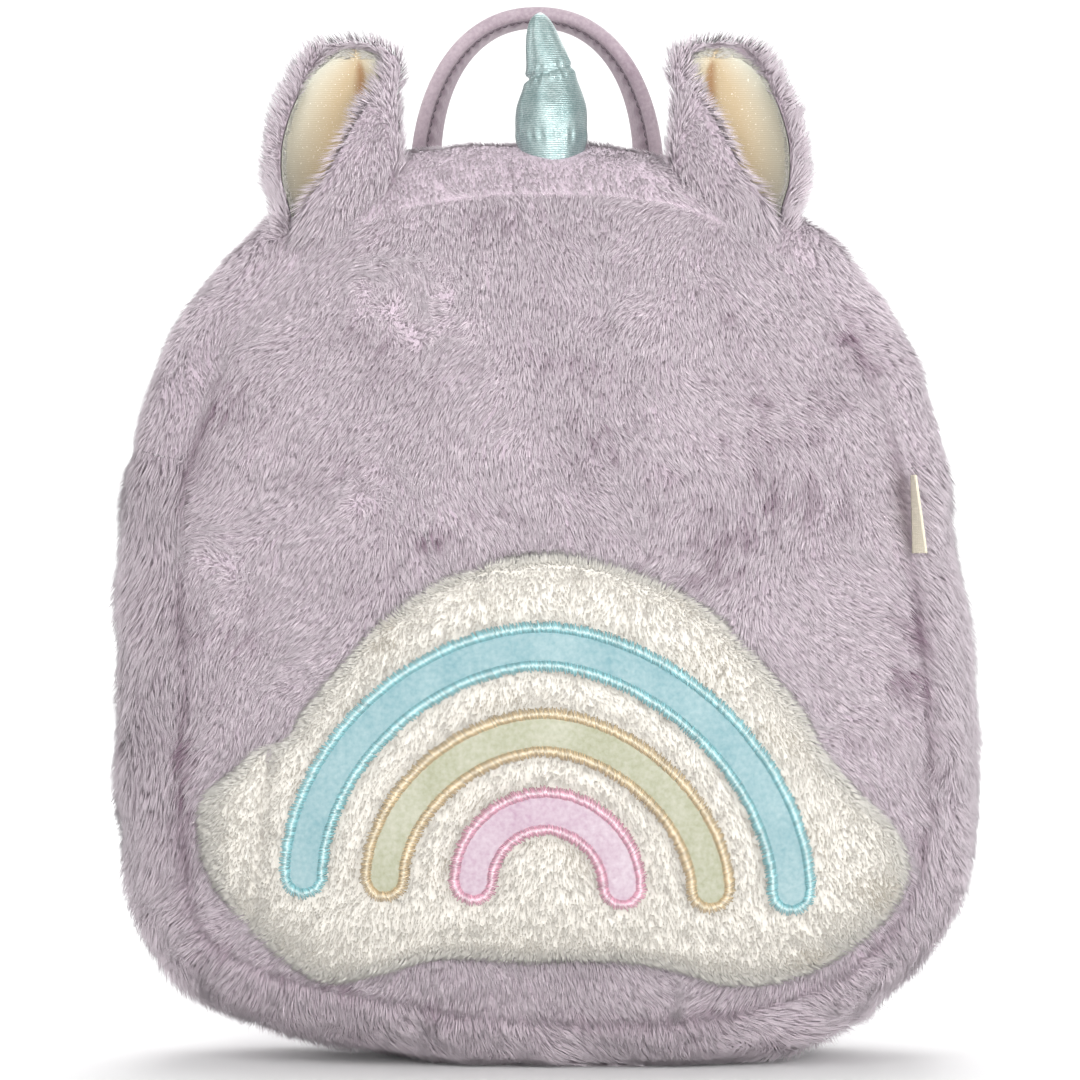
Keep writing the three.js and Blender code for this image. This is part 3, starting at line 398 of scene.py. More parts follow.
def new_material(name, **values):
    """A material with one Principled shader, whose plain values are set on its own sockets, and its node tree."""
    material = bpy.data.materials.new(name)
    material.use_nodes = True
    shader = material.node_tree.nodes["Principled BSDF"]
    for key, value in values.items():
        shader.inputs[key.replace("_", " ")].default_value = value
    return material, material.node_tree


def fed(material, base, normal=None):
    """Feeds a material's base colour, and its normal where it has relief or hair. Returns the material."""
    tree = material.node_tree
    shader = tree.nodes["Principled BSDF"]
    tree.links.new(base, shader.inputs["Base Color"])
    if normal is not None:
        tree.links.new(normal, shader.inputs["Normal"])
    return material


RAMP, MIX, NOISE, WAVES, BUMP = ("ShaderNodeValToRGB", "ShaderNodeMix", "ShaderNodeTexNoise", "ShaderNodeTexWave",
                                 "ShaderNodeBump")
PLACE, TURN, OWN, SPLIT, SUM = ("ShaderNodeTexCoord", "ShaderNodeMapping", "ShaderNodeAttribute",
                                "ShaderNodeSeparateColor", "ShaderNodeMath")
TIMES = {"data_type": "RGBA", "blend_type": "MULTIPLY", 0: 1.0}  # a mix that multiplies its colour inputs 6 and 7
WAVE = np.pi / 10  # scale of a wave texture whose bands are one metre apart


def faux_fur(name, root, mid, tip, dark):
    """Acrylic faux-fur hairs: matte and soft, darker towards the root as painted shade down in the pile and pale at the
    tips, with tone from hair to hair. The tone runs to its dark end where the tint is low: tone at random, and painted
    shade where callers lower the tint. The attribute lay is the normal that catches the light."""
    material, tree = new_material(name, Roughness=0.75, Sheen_Weight=0.2, Sheen_Roughness=0.5,
                                  Specular_IOR_Level=0.15)
    shades = node(tree, SPLIT, Color=node(tree, OWN, {"attribute_name": "pile"}).outputs[0]).outputs
    # painted shade: each hair darkens from its tip to its root, as down in the pile
    body = node(tree, RAMP, {"stops": [(0.0, root), (0.45, mid), (1.0, tip)]}, i0=shades[0])
    # dark end of the tone: tone at random, and painted shade that the tint carries
    tone = node(tree, RAMP, {"stops": [(0.0, dark), (0.55, "#ffffff")]}, i0=shades[1])
    both = node(tree, MIX, TIMES, i6=body.outputs[0], i7=tone.outputs[0])
    lay = node(tree, OWN, {"attribute_name": "lay"})
    return fed(material, both.outputs[2], lay.outputs["Vector"])


def fur_backing(name, low, high):
    """The dense underwool between the hairs: dark and light flecks that run downwards, drawn 0.6 mm wide so that they
    show."""
    material, tree = new_material(name, Roughness=0.95, Sheen_Weight=0.2, Specular_IOR_Level=0.1)
    drawn_down = node(tree, TURN, {"Scale": (1, 1, 0.35)}, Vector=node(tree, PLACE).outputs["Object"])
    fleck = node(tree, NOISE, {"Scale": 1300.0, "Detail": 3.0}, Vector=drawn_down.outputs[0])
    body = node(tree, RAMP, {"stops": [(0.3, low), (0.7, high)]}, i0=fleck.outputs[0])
    raised = node(tree, BUMP, {"Strength": 0.5, "Distance": 0.0006}, Height=fleck.outputs[0])
    return fed(material, body.outputs[0], raised.outputs[0])


LILAC_HAIR = faux_fur("acrylic faux fur, lilac", "#d2c0cb", "#e4d6de", "#eee5eb", "#b09caa")
LILAC_WOOL = fur_backing("faux fur underwool, lilac", "#c0afbb", "#cfc0ca")
CREAM_HAIR = faux_fur("short acrylic plush, cream", "#ddd8ce", "#e7e3db", "#f0ede7", "#dcd2c2")
CREAM_WOOL = fur_backing("plush underwool, cream", "#ddd8ce", "#e8e4dc")


def velvet(name, base, high, nap, pressed=False):
    """Short polyester velvet: a soft nap that lies in streaks, paler where it catches the light. With pressed set, its
    own shades darken it with painted shade along seams and between puckers."""
    material, tree = new_material(name, Roughness=0.8, Sheen_Weight=0.35, Sheen_Roughness=0.4, Specular_IOR_Level=0.2)
    where = node(tree, PLACE).outputs["Object"]
    drawn_down = node(tree, TURN, {"Scale": (1, 1, 0.45)}, Vector=where)
    streak = node(tree, NOISE, {"Scale": 70.0, "Detail": 5.0}, Vector=drawn_down.outputs[0])
    fine = node(tree, NOISE, {"Scale": nap, "Detail": 3.0}, Vector=where)
    half = node(tree, SUM, {"operation": "MULTIPLY", 1: 0.5}, i0=streak.outputs[0])
    both = node(tree, SUM, {"operation": "MULTIPLY_ADD", 1: 0.5}, i0=fine.outputs[0], i2=half.outputs[0])
    body = node(tree, RAMP, {"stops": [(0.32, base), (0.68, high)]}, i0=both.outputs[0]).outputs[0]
    # painted shade: the attribute pile darkens the velour along seams and between puckers
    if pressed:
        shades = node(tree, SPLIT, Color=node(tree, OWN, {"attribute_name": "pile"}).outputs[0]).outputs
        tone = node(tree, RAMP, {"stops": [(0.0, "#b0a6ad"), (1.0, "#ffffff")]}, i0=shades[0])
        body = node(tree, MIX, TIMES, i6=body, i7=tone.outputs[0]).outputs[2]
    raised = node(tree, BUMP, {"Strength": 0.5, "Distance": 0.0004}, Height=fine.outputs[0])
    return fed(material, body, raised.outputs[0])


def satin_thread(name, base, high, glint):
    """Rayon embroidery thread, 0.4 mm: smooth and shiny, with a painted highlight along the back of each stitch that
    fades to its darker ends.
    """
    material, tree = new_material(name, Roughness=0.38, Sheen_Weight=0.2, Specular_IOR_Level=0.45)
    shades = node(tree, SPLIT, Color=node(tree, OWN, {"attribute_name": "pile"}).outputs[0]).outputs
    # painted highlight: palest on the back of each stitch, darker towards both its ends
    stitch_highlight = [(0.0, base), (0.3, high), (0.48, glint), (0.66, high), (1.0, base)]
    body = node(tree, RAMP, {"stops": stitch_highlight}, i0=shades[0])
    tone = node(tree, RAMP, {"stops": [(0.0, "#d6d6d6"), (1.0, "#ffffff")]}, i0=shades[1])
    both = node(tree, MIX, TIMES, i6=body.outputs[0], i7=tone.outputs[0])
    return fed(material, both.outputs[2])


BAND_CLOTH = {
    "blue": velvet("polyester velvet, pale blue", "#799da4", "#a1b8bb", 700.0),
    "yellow": velvet("polyester velvet, pale yellow", "#9a9c82", "#babaaa", 700.0),
    "pink": velvet("polyester velvet, pale pink", "#b095a6", "#cbbfc6", 700.0),
}
BAND_THREAD = {
    "blue": satin_thread("rayon thread, aqua", "#7fc3cb", "#9fd6db", "#e2f5f5"),
    "yellow": satin_thread("rayon thread, straw", "#cdb183", "#dfc9a2", "#f7ecd6"),
    "pink": satin_thread("rayon thread, rose", "#e09db4", "#ebb5c8", "#fce9f0"),
}
VELOUR = velvet("polyester velour, lilac", "#978790", "#b9abb2", 1000.0)
# Velour for the handle, with painted shade along its seam and between its puckers.
SEAM_SHADED_VELOUR = velvet("polyester velour, lilac, painted seam shade", "#9e8d97", "#c0b1b8", 1000.0, pressed=True)
VELOUR_THREAD = satin_thread("polyester sewing thread, dull lilac", "#54454f", "#5f505a", "#6b5c66")


def woven(name, base, high, thread_mm, depth=0.0002):
    """Plain-woven polyester: crossed threads at the given spacing, drawn by two wave patterns on Object coordinates."""
    material, tree = new_material(name, Roughness=0.75, Sheen_Weight=0.15, Specular_IOR_Level=0.3)
    scale = WAVE / (thread_mm * MM)
    where = node(tree, PLACE).outputs["Object"]
    warp, weft = (node(tree, WAVES, {"bands_direction": way, "Scale": scale, "Distortion": 0.6}, Vector=where)
                  for way in ("X", "Z"))
    both = node(tree, SUM, {"operation": "MULTIPLY"}, i0=warp.outputs[1], i1=weft.outputs[1])
    body = node(tree, RAMP, {"stops": [(0.0, base), (0.8, high)]}, i0=both.outputs[0])
    raised = node(tree, BUMP, {"Strength": 0.6, "Distance": depth}, Height=both.outputs[0])
    return fed(material, body.outputs[0], raised.outputs[0])


LILAC_CLOTH = woven("brushed polyester twill, lilac", "#877985", "#a1939e", 0.9)
WEBBING_CLOTH = woven("polypropylene webbing, lilac", "#7f707c", "#9d8e99", 1.4, 0.0004)
LABEL_TAPE = woven("woven polyester label tape", "#ded6bf", "#ebe4d1", 0.5)
ZIP_TAPE = woven("woven zip tape, lilac", "#82747f", "#998a95", 0.6)


def metallic_knit():
    """Polyester knit filmed with aqua foil: fine ribs 0.65 mm apart, specks that sparkle by bump and by painted glint
    in the colour, and bright streaks where it faces the light."""
    material, tree = new_material("foil-coated knit, aqua", Metallic=0.6, Roughness=0.33, Specular_IOR_Level=0.8)
    where = node(tree, PLACE).outputs["Object"]
    rib = node(tree, WAVES, {"bands_direction": "Z", "Scale": WAVE / 0.00065, "Distortion": 2.0, "Detail": 2.0,
                             "Detail Scale": 3.0}, Vector=where).outputs[1]
    patch = node(tree, NOISE, {"Scale": 160.0, "Detail": 3.0}, Vector=where)
    speck = node(tree, NOISE, {"Scale": 1500.0, "Detail": 2.0}, Vector=where).outputs[0]
    body = node(tree, RAMP, {"stops": [(0.3, "#a6b9b9"), (0.7, "#c3d0cf")]}, i0=patch.outputs[0])
    ribbed = node(tree, RAMP, {"stops": [(0.0, "#cdd9d9"), (1.0, "#ffffff")]}, i0=rib)
    # painted glint: pale specks multiplied into the foil's colour
    painted_glint = node(tree, RAMP, {"stops": [(0.35, "#dde6e6"), (0.65, "#ffffff")]}, i0=speck)
    foil = node(tree, MIX, TIMES, i6=body.outputs[0], i7=ribbed.outputs[0])
    foil = node(tree, MIX, TIMES, i6=foil.outputs[2], i7=painted_glint.outputs[0])
    grain = node(tree, SUM, {"operation": "ADD"}, i0=rib, i1=speck)
    raised = node(tree, BUMP, {"Strength": 0.3, "Distance": 0.0002}, Height=grain.outputs[0])
    return fed(material, foil.outputs[2], raised.outputs[0])


def metallic_velvet():
    """Velvet with metallic thread: pale gold, with fine ribs 0.6 mm apart and white flecks of painted glint. It is
    paler along its edge and towards its top, a painted sheen, and tan in the crease, a painted shade."""
    material, tree = new_material("metallic-thread velvet, pale gold", Metallic=0.15, Roughness=0.5, Sheen_Weight=0.3)
    where = node(tree, PLACE).outputs["Object"]
    ribs = {"bands_direction": "Z", "Scale": WAVE / 0.0006, "Distortion": 2.0}
    rib = node(tree, WAVES, ribs, Vector=where).outputs[1]
    glint = node(tree, NOISE, {"Scale": 2200.0, "Detail": 2.0}, Vector=where)
    shades = node(tree, SPLIT, Color=node(tree, OWN, {"attribute_name": "pile"}).outputs[0]).outputs
    # painted sheen: pale at the lining's edge, turning to its own gold inside
    from_edge = [(0.0, "#d3d6cb"), (0.3, "#ccc5b2"), (0.55, "#c1ad8c"), (1.0, "#bca480")]
    body = node(tree, RAMP, {"stops": from_edge}, i0=shades[0])
    # painted shade: tan in the crease
    crease = node(tree, RAMP, {"stops": [(0.0, "#cda983"), (0.8, "#ffffff")]}, i0=shades[1])
    ribbed = node(tree, RAMP, {"stops": [(0.0, "#f3efe7"), (1.0, "#ffffff")]}, i0=rib)
    # painted glint: white flecks at random
    fleck = node(tree, RAMP, {"stops": [(0.66, "#000000"), (0.74, "#ffffff")]}, i0=glint.outputs[0])
    creased = node(tree, MIX, TIMES, i6=body.outputs[0], i7=crease.outputs[0])
    cloth = node(tree, MIX, TIMES, i6=creased.outputs[2], i7=ribbed.outputs[0])
    flecked = node(tree, MIX, {"data_type": "RGBA", 7: colour("#fdf9ee")}, i0=fleck.outputs[0], i6=cloth.outputs[2])
    raised = node(tree, BUMP, {"Strength": 0.2, "Distance": 0.0002}, Height=rib)
    return fed(material, flecked.outputs[2], raised.outputs[0])


AQUA_FOIL, GOLD_VELVET = metallic_knit(), metallic_velvet()


def moulded(name, base, high, roughness, metallic=0.0):
    """A moulded or cast small part with a slightly uneven tone and faint handling marks."""
    material, tree = new_material(name, Roughness=roughness, Metallic=metallic)
    where = node(tree, PLACE).outputs["Object"]
    tone = node(tree, NOISE, {"Scale": 300.0, "Detail": 4.0}, Vector=where)
    marks = node(tree, NOISE, {"Scale": 2500.0, "Detail": 2.0}, Vector=where)
    body = node(tree, RAMP, {"stops": [(0.3, base), (0.7, high)]}, i0=tone.outputs[0])
    raised = node(tree, BUMP, {"Strength": 0.15, "Distance": 0.0001}, Height=marks.outputs[0])
    return fed(material, body.outputs[0], raised.outputs[0])


NYLON = moulded("moulded nylon, lilac", "#9c8b9a", "#a998a7", 0.4)
ZIP_METAL = moulded("lacquered zinc, lilac", "#ad9dab", "#bfb0bd", 0.32, 0.6)
COIL_NYLON = moulded("nylon coil, lilac", "#a593a2", "#bbaab8", 0.45)

for name, material in (("strap_ring_left", NYLON), ("strap_ring_right", NYLON), ("zip_slider", ZIP_METAL)):
    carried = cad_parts[name]
    carried.data.materials.clear()
    carried.data.materials.append(material)

# ---------------------------------------------------------------- bag
LIFTED_SHARE, CROWN_FROM, CROWN_TO = 0.7, 200, 240  # the seams dip less on the crown, between these heights
PILE_SINK = 1.0  # how far the underwool lies below the solids' surface, which is the top of the dense pile
pile_sink = lambda z: PILE_SINK * (1 - 0.9 * ramp(z, 225, 262))
SEAM_DIP, SEAM_SPAN = 2.6, 3.6  # depth and half width of the parting along a seam


def seam_dip(distance):
    """How far the pile dips towards a seam: a bell of the distance from it."""
    return SEAM_DIP * bell(distance, SEAM_SPAN)


def less_on_crown(z):
    """1 low on the bag, falling to its share of a seam's dip on the crown."""
    return 1 - LIFTED_SHARE * ramp(z, CROWN_FROM, CROWN_TO)


def hills(points, height, size, fine_size, seed):
    """Soft hills of the fur: waves of one height and size, and waves half as high of a finer size."""
    return height * waves(points, size, seed) + height / 2 * waves(points, fine_size, seed + 1)


def front_surface():
    """Face of the front panel with its soft hills and the dip at its seam, and the wall behind it."""
    sides, rings = 200, 44
    t = np.arange(sides)[None, :] / sides
    r = np.sin(np.linspace(0, np.pi / 2, rings))[:, None]
    plain = panel(t, r, 0.0 * r, True)
    from_seam = (1 - r) * np.linalg.norm(plain[-1] - plain[0], axis=-1)[None, :]
    soft = hills(plain, 0.7, 60.0, 22.0, 3)
    plain[..., 1] += PILE_SINK + seam_dip(from_seam) * less_on_crown(plain[..., 2]) - soft * ramp(from_seam, 2, 20)
    inner = np.array([1, 0.9, 0.6, 0.3, 0])[:, None]
    inside = panel(t, inner, FUR_WALL + 0 * inner, True)
    return plain, inside


def strip_surface(t_from, t_to, y_from, y_to, rows, cols):
    """Outer face of a strip of the gusset with its hills and the dips at its two seams, and its inner wall."""
    t = np.linspace(t_from, t_to, rows)[:, None]
    y = np.linspace(y_from, y_to, cols)[None, :]
    plain = gusset(t, y, 0.0)
    soft = hills(plain, 0.6, 50.0, 20.0, 5)
    from_seam = np.minimum(y - y_from, y_to - y)
    dip = seam_dip(from_seam) * less_on_crown(plain[..., 2])
    outside = gusset(t, y, pile_sink(plain[..., 2]) + dip - soft * ramp(from_seam, 1, 8), 0.0)
    inside = gusset(t, np.linspace(y_to, y_from, 5)[None, :], FUR_WALL)
    return outside, inside


front_face, front_inside = front_surface()
add_rings("front_underwool", np.concatenate([front_face, front_inside]), LILAC_WOOL, ("front_panel",),
          caps=0)
SEAM_T = GAP / 2 / BODY_LENGTH
ZIP_FROM, ZIP_TO = CROWN - ZIP_REACH / 2, CROWN + ZIP_REACH / 2
Y_FRONT, Y_BACK = -FRONT + GAP / 2, BACK - GAP / 2
strips = {
    "gusset_lower": strip_surface(ZIP_TO + SEAM_T, 1 + ZIP_FROM - SEAM_T, Y_FRONT, Y_BACK, 160, 28),
    "gusset_top_front": strip_surface(ZIP_FROM + SEAM_T, ZIP_TO - SEAM_T, Y_FRONT, ZIP_Y - ZIP_SLOT / 2, 90, 18),
    "gusset_top_back": strip_surface(ZIP_FROM + SEAM_T, ZIP_TO - SEAM_T, ZIP_Y + ZIP_SLOT / 2, Y_BACK, 90, 14),
}
for name, faces in strips.items():
    add_rings(name + "_underwool", np.concatenate(faces, 1), LILAC_WOOL, (name,))

BACK_SIDES, BACK_RINGS = 120, 26
back_t = np.arange(BACK_SIDES)[None, :] / BACK_SIDES
back_r = np.sin(np.linspace(0, np.pi / 2, BACK_RINGS))[:, None]
back_face = panel(back_t, back_r, 0 * back_r, False)
back_face[..., 1] -= seam_dip((1 - back_r) * 120) * 0.4 - 0.25 * waves(back_face, 30.0, 8) * (1 - back_r**6)
back_inner = np.array([1, 0.6, 0])[:, None]
back_shell = np.concatenate([back_face, panel(back_t, back_inner, BACK_WALL + 0 * back_inner, False)])
add_rings("back_panel_cloth", back_shell, LILAC_CLOTH, ("back_panel",), caps=0)

# ---------------------------------------------------------------- cloud
CLOUD_RIM = smooth([(s * CLOUD_W / 2, u * CLOUD_H / 2) for s, u in CLOUD], True)


def band_line(band, angle):
    """Middle line of a rainbow band: an arch of exponent full, its feet level but for the rainbow's tilt."""
    reach, rise, full = BANDS[band]
    c, s = np.cos(angle), np.sin(angle)
    radius = (np.abs(c) ** full + np.abs(s) ** full) ** (-1 / full)
    x, up = reach * CLOUD_W / 2 * radius * c, rise * CLOUD_H * radius * s
    return np.stack([BAND_X + x, BAND_Z + up - BAND_TILT * x], -1)


def from_bands(x, z):
    """Distance from (x, z) to the nearest middle line of a band."""
    spots = np.concatenate([band_line(band, np.linspace(0, np.pi, 90)) for band in BANDS])
    here = np.stack([x, z], -1).reshape(-1, 2)
    best = np.full(len(here), 1e9)
    for start in range(0, len(here), 20000):
        part = here[start:start + 20000]
        best[start:start + 20000] = np.sqrt(((part[:, None] - spots[None]) ** 2).sum(-1).min(1))
    return best.reshape(x.shape)


PRESSED_DEEP, PRESSED_AT, PRESSED_WIDE = 0.9, 1.2, 2.2  # dip beside the bands: depth, distance and half width
CHEEK_X, CHEEK_Z, CHEEK_LEAN = 83.0, 60.0, 0.12  # fold behind the puffed left end: its middle and lean
LOWER_FOLD = 49.0  # how far below the cloud's middle its lower fold runs


def cloud_height(x, z, reach):
    """Height of the cloud's plush over the bag: a pad with a rounded edge, pressed down beside the bands' stitching,
    with a fold behind the puffed left end and a shallow one along the lower edge."""
    edge = np.sqrt(np.clip(1 - np.clip((reach - 0.84) / 0.16, 0, 1) ** 2.4, 0, 1))
    pad = CLOUD_THICK * (0.25 + 0.75 * edge)
    quilt = PRESSED_DEEP * bell(from_bands(x, z) - BAND_HALF - PRESSED_AT, PRESSED_WIDE)
    fold = (x + CHEEK_X) - CHEEK_LEAN * (z - CHEEK_Z)
    cheek = 3.0 * bell(fold, 2.6) - 1.8 * bell(fold + 9.0, 6.5)
    lower = 0.7 * bell(z - CLOUD_Z + LOWER_FOLD - 2.5 * np.cos(x / 28.0), 2.6)
    return pad - (quilt + cheek + lower) * edge


CLOUD_SIDES, CLOUD_SINK = 180, 1.2  # points round the pad, and how far its underwool lies below its plush
cloud_t = np.arange(CLOUD_SIDES)[None, :] / CLOUD_SIDES
cloud_r = np.concatenate([np.linspace(0, 0.82, 30), 1 - 0.18 * (1 - np.linspace(0.05, 1, 14)) ** 1.6])[:, None]
rim = along(CLOUD_RIM, cloud_t, True)[0]
cloud_x, cloud_z = CLOUD_X + rim[..., 0] * cloud_r, CLOUD_Z + rim[..., 1] * cloud_r
cloud_rise = cloud_height(cloud_x, cloud_z, cloud_r + 0 * cloud_x)
cloud_y = front_y(cloud_x, cloud_z) - GAP - np.maximum(cloud_rise - CLOUD_SINK, 0.3)
cloud_face = np.stack([cloud_x, cloud_y, cloud_z], -1)
under_r = np.array([0.99, 0.7, 0.4, 0])[:, None]
under_x, under_z = CLOUD_X + rim[..., 0] * under_r, CLOUD_Z + rim[..., 1] * under_r
cloud_under = np.stack([under_x, front_y(under_x, under_z) - GAP + 0.2, under_z], -1)
cloud_pad = add_rings("cloud_underwool", np.concatenate([cloud_face, cloud_under]), CREAM_WOOL,
                      ("cloud_patch",), caps=0)


def on_cloud(flat, lift):
    """Points (x, z) laid over the cloud, lift above the solid's face."""
    x, z = flat[..., 0], flat[..., 1]
    return np.stack([x, front_y(x, z) - 2 * GAP - CLOUD_THICK - lift, z], -1)


def band_way(band, angle):
    """Direction of a band's middle line."""
    return unit(band_line(band, angle + 1e-3) - band_line(band, angle - 1e-3))


def band_edge(band, steps=40, turns=9):
    """Stations of a band from end to end: points of its middle line, its direction, and the turn round its foot."""
    quarter = np.linspace(0, np.pi / 2, turns)
    angle = np.concatenate([np.zeros(turns), np.linspace(0, np.pi, steps)[1:-1], np.full(turns, np.pi)])
    turn = np.concatenate([-quarter[::-1], np.zeros(steps - 2), quarter])
    return band_line(band, angle), band_way(band, angle), turn


CLOTH_HALF = BAND_HALF - 0.6  # half width of a band's cloth, whose edge lies under the stitches
for band in BANDS:
    here, way, turn = band_edge(band)
    across = np.stack([way[:, 1], -way[:, 0]], -1)
    q = np.sin(np.linspace(-np.pi / 2, np.pi / 2, 17))[None, :]  # share of the half width, from edge to edge
    half = CLOTH_HALF * np.maximum(np.cos(turn), 0.02)[:, None]
    flat = here[:, None] + way[:, None] * (CLOTH_HALF * np.sin(turn))[:, None, None]
    flat = flat + across[:, None] * (half * q)[..., None]
    puff = 0.3 + 0.65 * (1 - np.abs(q) ** 5) * np.cos(turn)[:, None] ** 0.4
    ring = np.concatenate([on_cloud(flat, puff), on_cloud(flat, 0 * puff - 0.2)[:, ::-1]], 1)
    add_rings(f"rainbow_{band}_velvet", ring, BAND_CLOTH[band], (f"rainbow_{band}",))


def bars(name, start, end, rise, up, width, thick, material, tint):
    """Stitches: each a bar from start to end that arches by rise along up, with three sections of three corners, and
    closed ends. Its shade runs from 0 at the start to 1 at the end, next to its own tint."""
    s = np.array([0, 0.5, 1.0])
    line = start[:, None] + (end - start)[:, None] * s[None, :, None]
    line = line + up[:, None] * (rise[:, None] * [0.0, 1.0, 0.0])[..., None]
    side = unit(np.cross(end - start, up))
    corner = np.array([(-1, -0.5), (0, 1), (1, -0.5)])
    grown = np.array([0.55, 1, 0.55])[None, :, None, None]
    section = (side[:, None, None] * corner[None, None, :, :1] * width / 2
               + up[:, None, None] * corner[None, None, :, 1:] * thick / 2) * grown
    points = line[:, :, None] + section
    n = len(start)
    body = sheet_faces(3, 3, False, True)
    quads = (np.arange(n)[:, None, None] * 9 + body).reshape(-1, 4)
    ends = (np.arange(n)[:, None, None] * 9 + np.array([[2, 1, 0], [6, 7, 8]])).reshape(-1, 3)
    shades = np.zeros((n, 9, 4))
    shades[..., 0], shades[..., 1], shades[..., 3] = np.repeat(s, 3), tint[:, None], 1
    return add_mesh(name, points.reshape(-1, 3), [quads, ends], material, shades=shades.reshape(-1, 4),
                    merge=False)


STITCH_STEP, STITCH_LONG, STITCH_WIDE, STITCH_THICK = 0.48, 3.4, 0.62, 0.6
STITCH_FROM, STITCH_TO, STITCH_RISE = 0.7, -0.1, 1.4  # lift of a stitch at its ends, and its rise between them
STITCH_IN = 1.0  # how far the middle of the satin edge lies inside the band's edge
FOOT_POINTS = 58  # points round a band's foot


def band_loop(band):
    """The outline of a band: its inner side, one foot, its outer side and the other foot, as points and the outward
    direction at each, spaced evenly."""
    angle = np.linspace(0, np.pi, 400)
    line, way = band_line(band, angle), band_way(band, angle)
    out = np.stack([way[:, 1], -way[:, 0]], -1)
    turn = np.linspace(0, np.pi, FOOT_POINTS + 2)[1:-1, None]
    foot = lambda k, sign: np.cos(turn) * out[k] * sign + np.sin(turn) * -way[k] * sign
    start, finish = foot(0, 1), foot(-1, -1)
    foot_middle = lambda point: np.repeat(point, FOOT_POINTS, 0)
    middle = np.concatenate([foot_middle(line[:1]), line, foot_middle(line[-1:]), line[::-1]])
    # The loop runs: foot at the right, inner side, foot at the left, outer side.
    outward = np.concatenate([start, -out, finish, out[::-1]])
    path = middle + outward * (BAND_HALF - STITCH_IN)
    return path, outward, run(path)


for number, band in enumerate(BANDS):
    rng = np.random.default_rng(40 + number)
    path, outward, length = band_loop(band)
    spots = np.arange(0, length[-1], STITCH_STEP)
    read = lambda a: np.stack([np.interp(spots, length, a[:, k]) for k in range(2)], -1)
    at, out = read(path), unit(read(outward))
    lean = 0.3 + rng.normal(0, 0.06, len(spots))
    way = out * np.cos(lean)[:, None] + np.stack([-out[:, 1], out[:, 0]], -1) * np.sin(lean)[:, None]
    a = at - way * STITCH_LONG / 2 * rng.uniform(0.85, 1.05, (len(spots), 1))
    b = at + way * STITCH_LONG / 2 * rng.uniform(0.85, 1.35, (len(spots), 1))
    up = np.tile([0.0, -1.0, 0.0], (len(spots), 1))
    rise = STITCH_RISE + rng.normal(0, 0.06, len(spots))
    bars(f"rainbow_{band}_satin_edge", on_cloud(a, STITCH_FROM), on_cloud(b, STITCH_TO), rise, up, STITCH_WIDE,
         STITCH_THICK, BAND_THREAD[band], rng.uniform(0, 1, len(spots)))


# ---------------------------------------------------------------- ears
EAR_CURVE = smooth(EAR, False)[0]
EAR_EDGE = 195  # where the ear's outer edge lies on its ellipse, in degrees


def ear_face(side, up, share, inset_mm, short=0.0):
    """A surface of an ear: at height up, an arc of an ellipse from its outer edge round the back to the flap's edge,
    drawn inset_mm inside the ear's outer face and short degrees short of both edges."""
    outer, inner, deep, lean, flap = (np.interp(up, EAR_CURVE[:, 0], EAR_CURVE[:, k]) for k in range(1, 6))
    middle = side * EAR_SPREAD + EAR_MIDDLE
    x_out, x_in = middle - side * outer * EAR_W, middle - side * inner * EAR_W
    half_x, half_y = np.abs(x_in - x_out) / 2, deep * EAR_D / 2
    thin = np.minimum(1, half_y / (1.6 * EAR_WALL))
    angle = np.radians(EAR_EDGE - short + (flap - EAR_EDGE + 2 * short) * share)
    x = (x_out + x_in) / 2 - side * (half_x - inset_mm * thin) * np.cos(angle)
    y = EAR_Y + lean * EAR_D + (half_y - inset_mm * thin) * np.sin(angle)
    return np.stack([x, y, top_z(middle) + up * EAR_H + 0 * x], -1)


EAR_COLS = 30
EAR_ROWS = np.concatenate([np.linspace(-0.5, 0.84, 30), np.linspace(0.865, 0.975, 8)])
LINED_TO = 0.95  # how far up the ear its lining reaches
CREASE_AT = 0.56  # the crease's place across the lining
lined_short = lambda up: 6 + 76 * np.clip((up - 0.45) / (LINED_TO - 0.45), 0, 1) ** 2.6
ear_rings, lined_faces = {}, {}
for side, word in ((-1, "left"), (1, "right")):
    up, share = EAR_ROWS[:, None], np.linspace(0, 1, EAR_COLS)[None, :]
    ring = np.concatenate([ear_face(side, up, share, 0.7), ear_face(side, up, share[:, ::-1], EAR_WALL - 0.6)], 1)
    ring = np.concatenate([ring, np.broadcast_to(ring[-1].mean(0) + [0, 0, 0.5], (1,) + ring.shape[1:])])
    ear_rings[word] = ring
    add_rings(f"ear_{word}_underwool", ring, LILAC_WOOL, (f"ear_{word}",), caps=1)
    lined_up = np.linspace(-0.33, LINED_TO, 34)[:, None]
    crease = lambda inset_mm, turned: ear_face(side, lined_up, turned, inset_mm, lined_short(lined_up))
    creased = bell(share - CREASE_AT, 0.05) * ramp(lined_up, -0.1, 0.5) * ramp(LINED_TO - lined_up, 0.02, 0.16)
    thick = 1.1 * ramp(np.minimum(share, 1 - share), 0, 0.07)
    lined_faces[word] = crease(EAR_WALL + GAP - 0.1 + thick - 0.8 * creased, share)
    lined = np.concatenate([crease(EAR_WALL + GAP - 0.2, share), lined_faces[word][:, ::-1]], 1)
    edge = np.concatenate([share[0], share[0, ::-1]])
    shades = np.zeros(lined.shape[:2] + (4,))
    # shades 0: paler along the edges and towards the top, a painted sheen; shades 1: tan in the crease, a painted shade
    shades[..., 0] = np.minimum(edge, 1 - edge)[None] * np.linspace(1, 0.25, len(lined))[:, None] ** 0.5 * 2
    shades[..., 1] = 1 - np.concatenate([creased, creased[:, ::-1]], 1)
    shades[..., 3] = 1
    add_rings(f"ear_lining_{word}_velvet", lined, GOLD_VELVET, (f"ear_lining_{word}",), shades=shades)

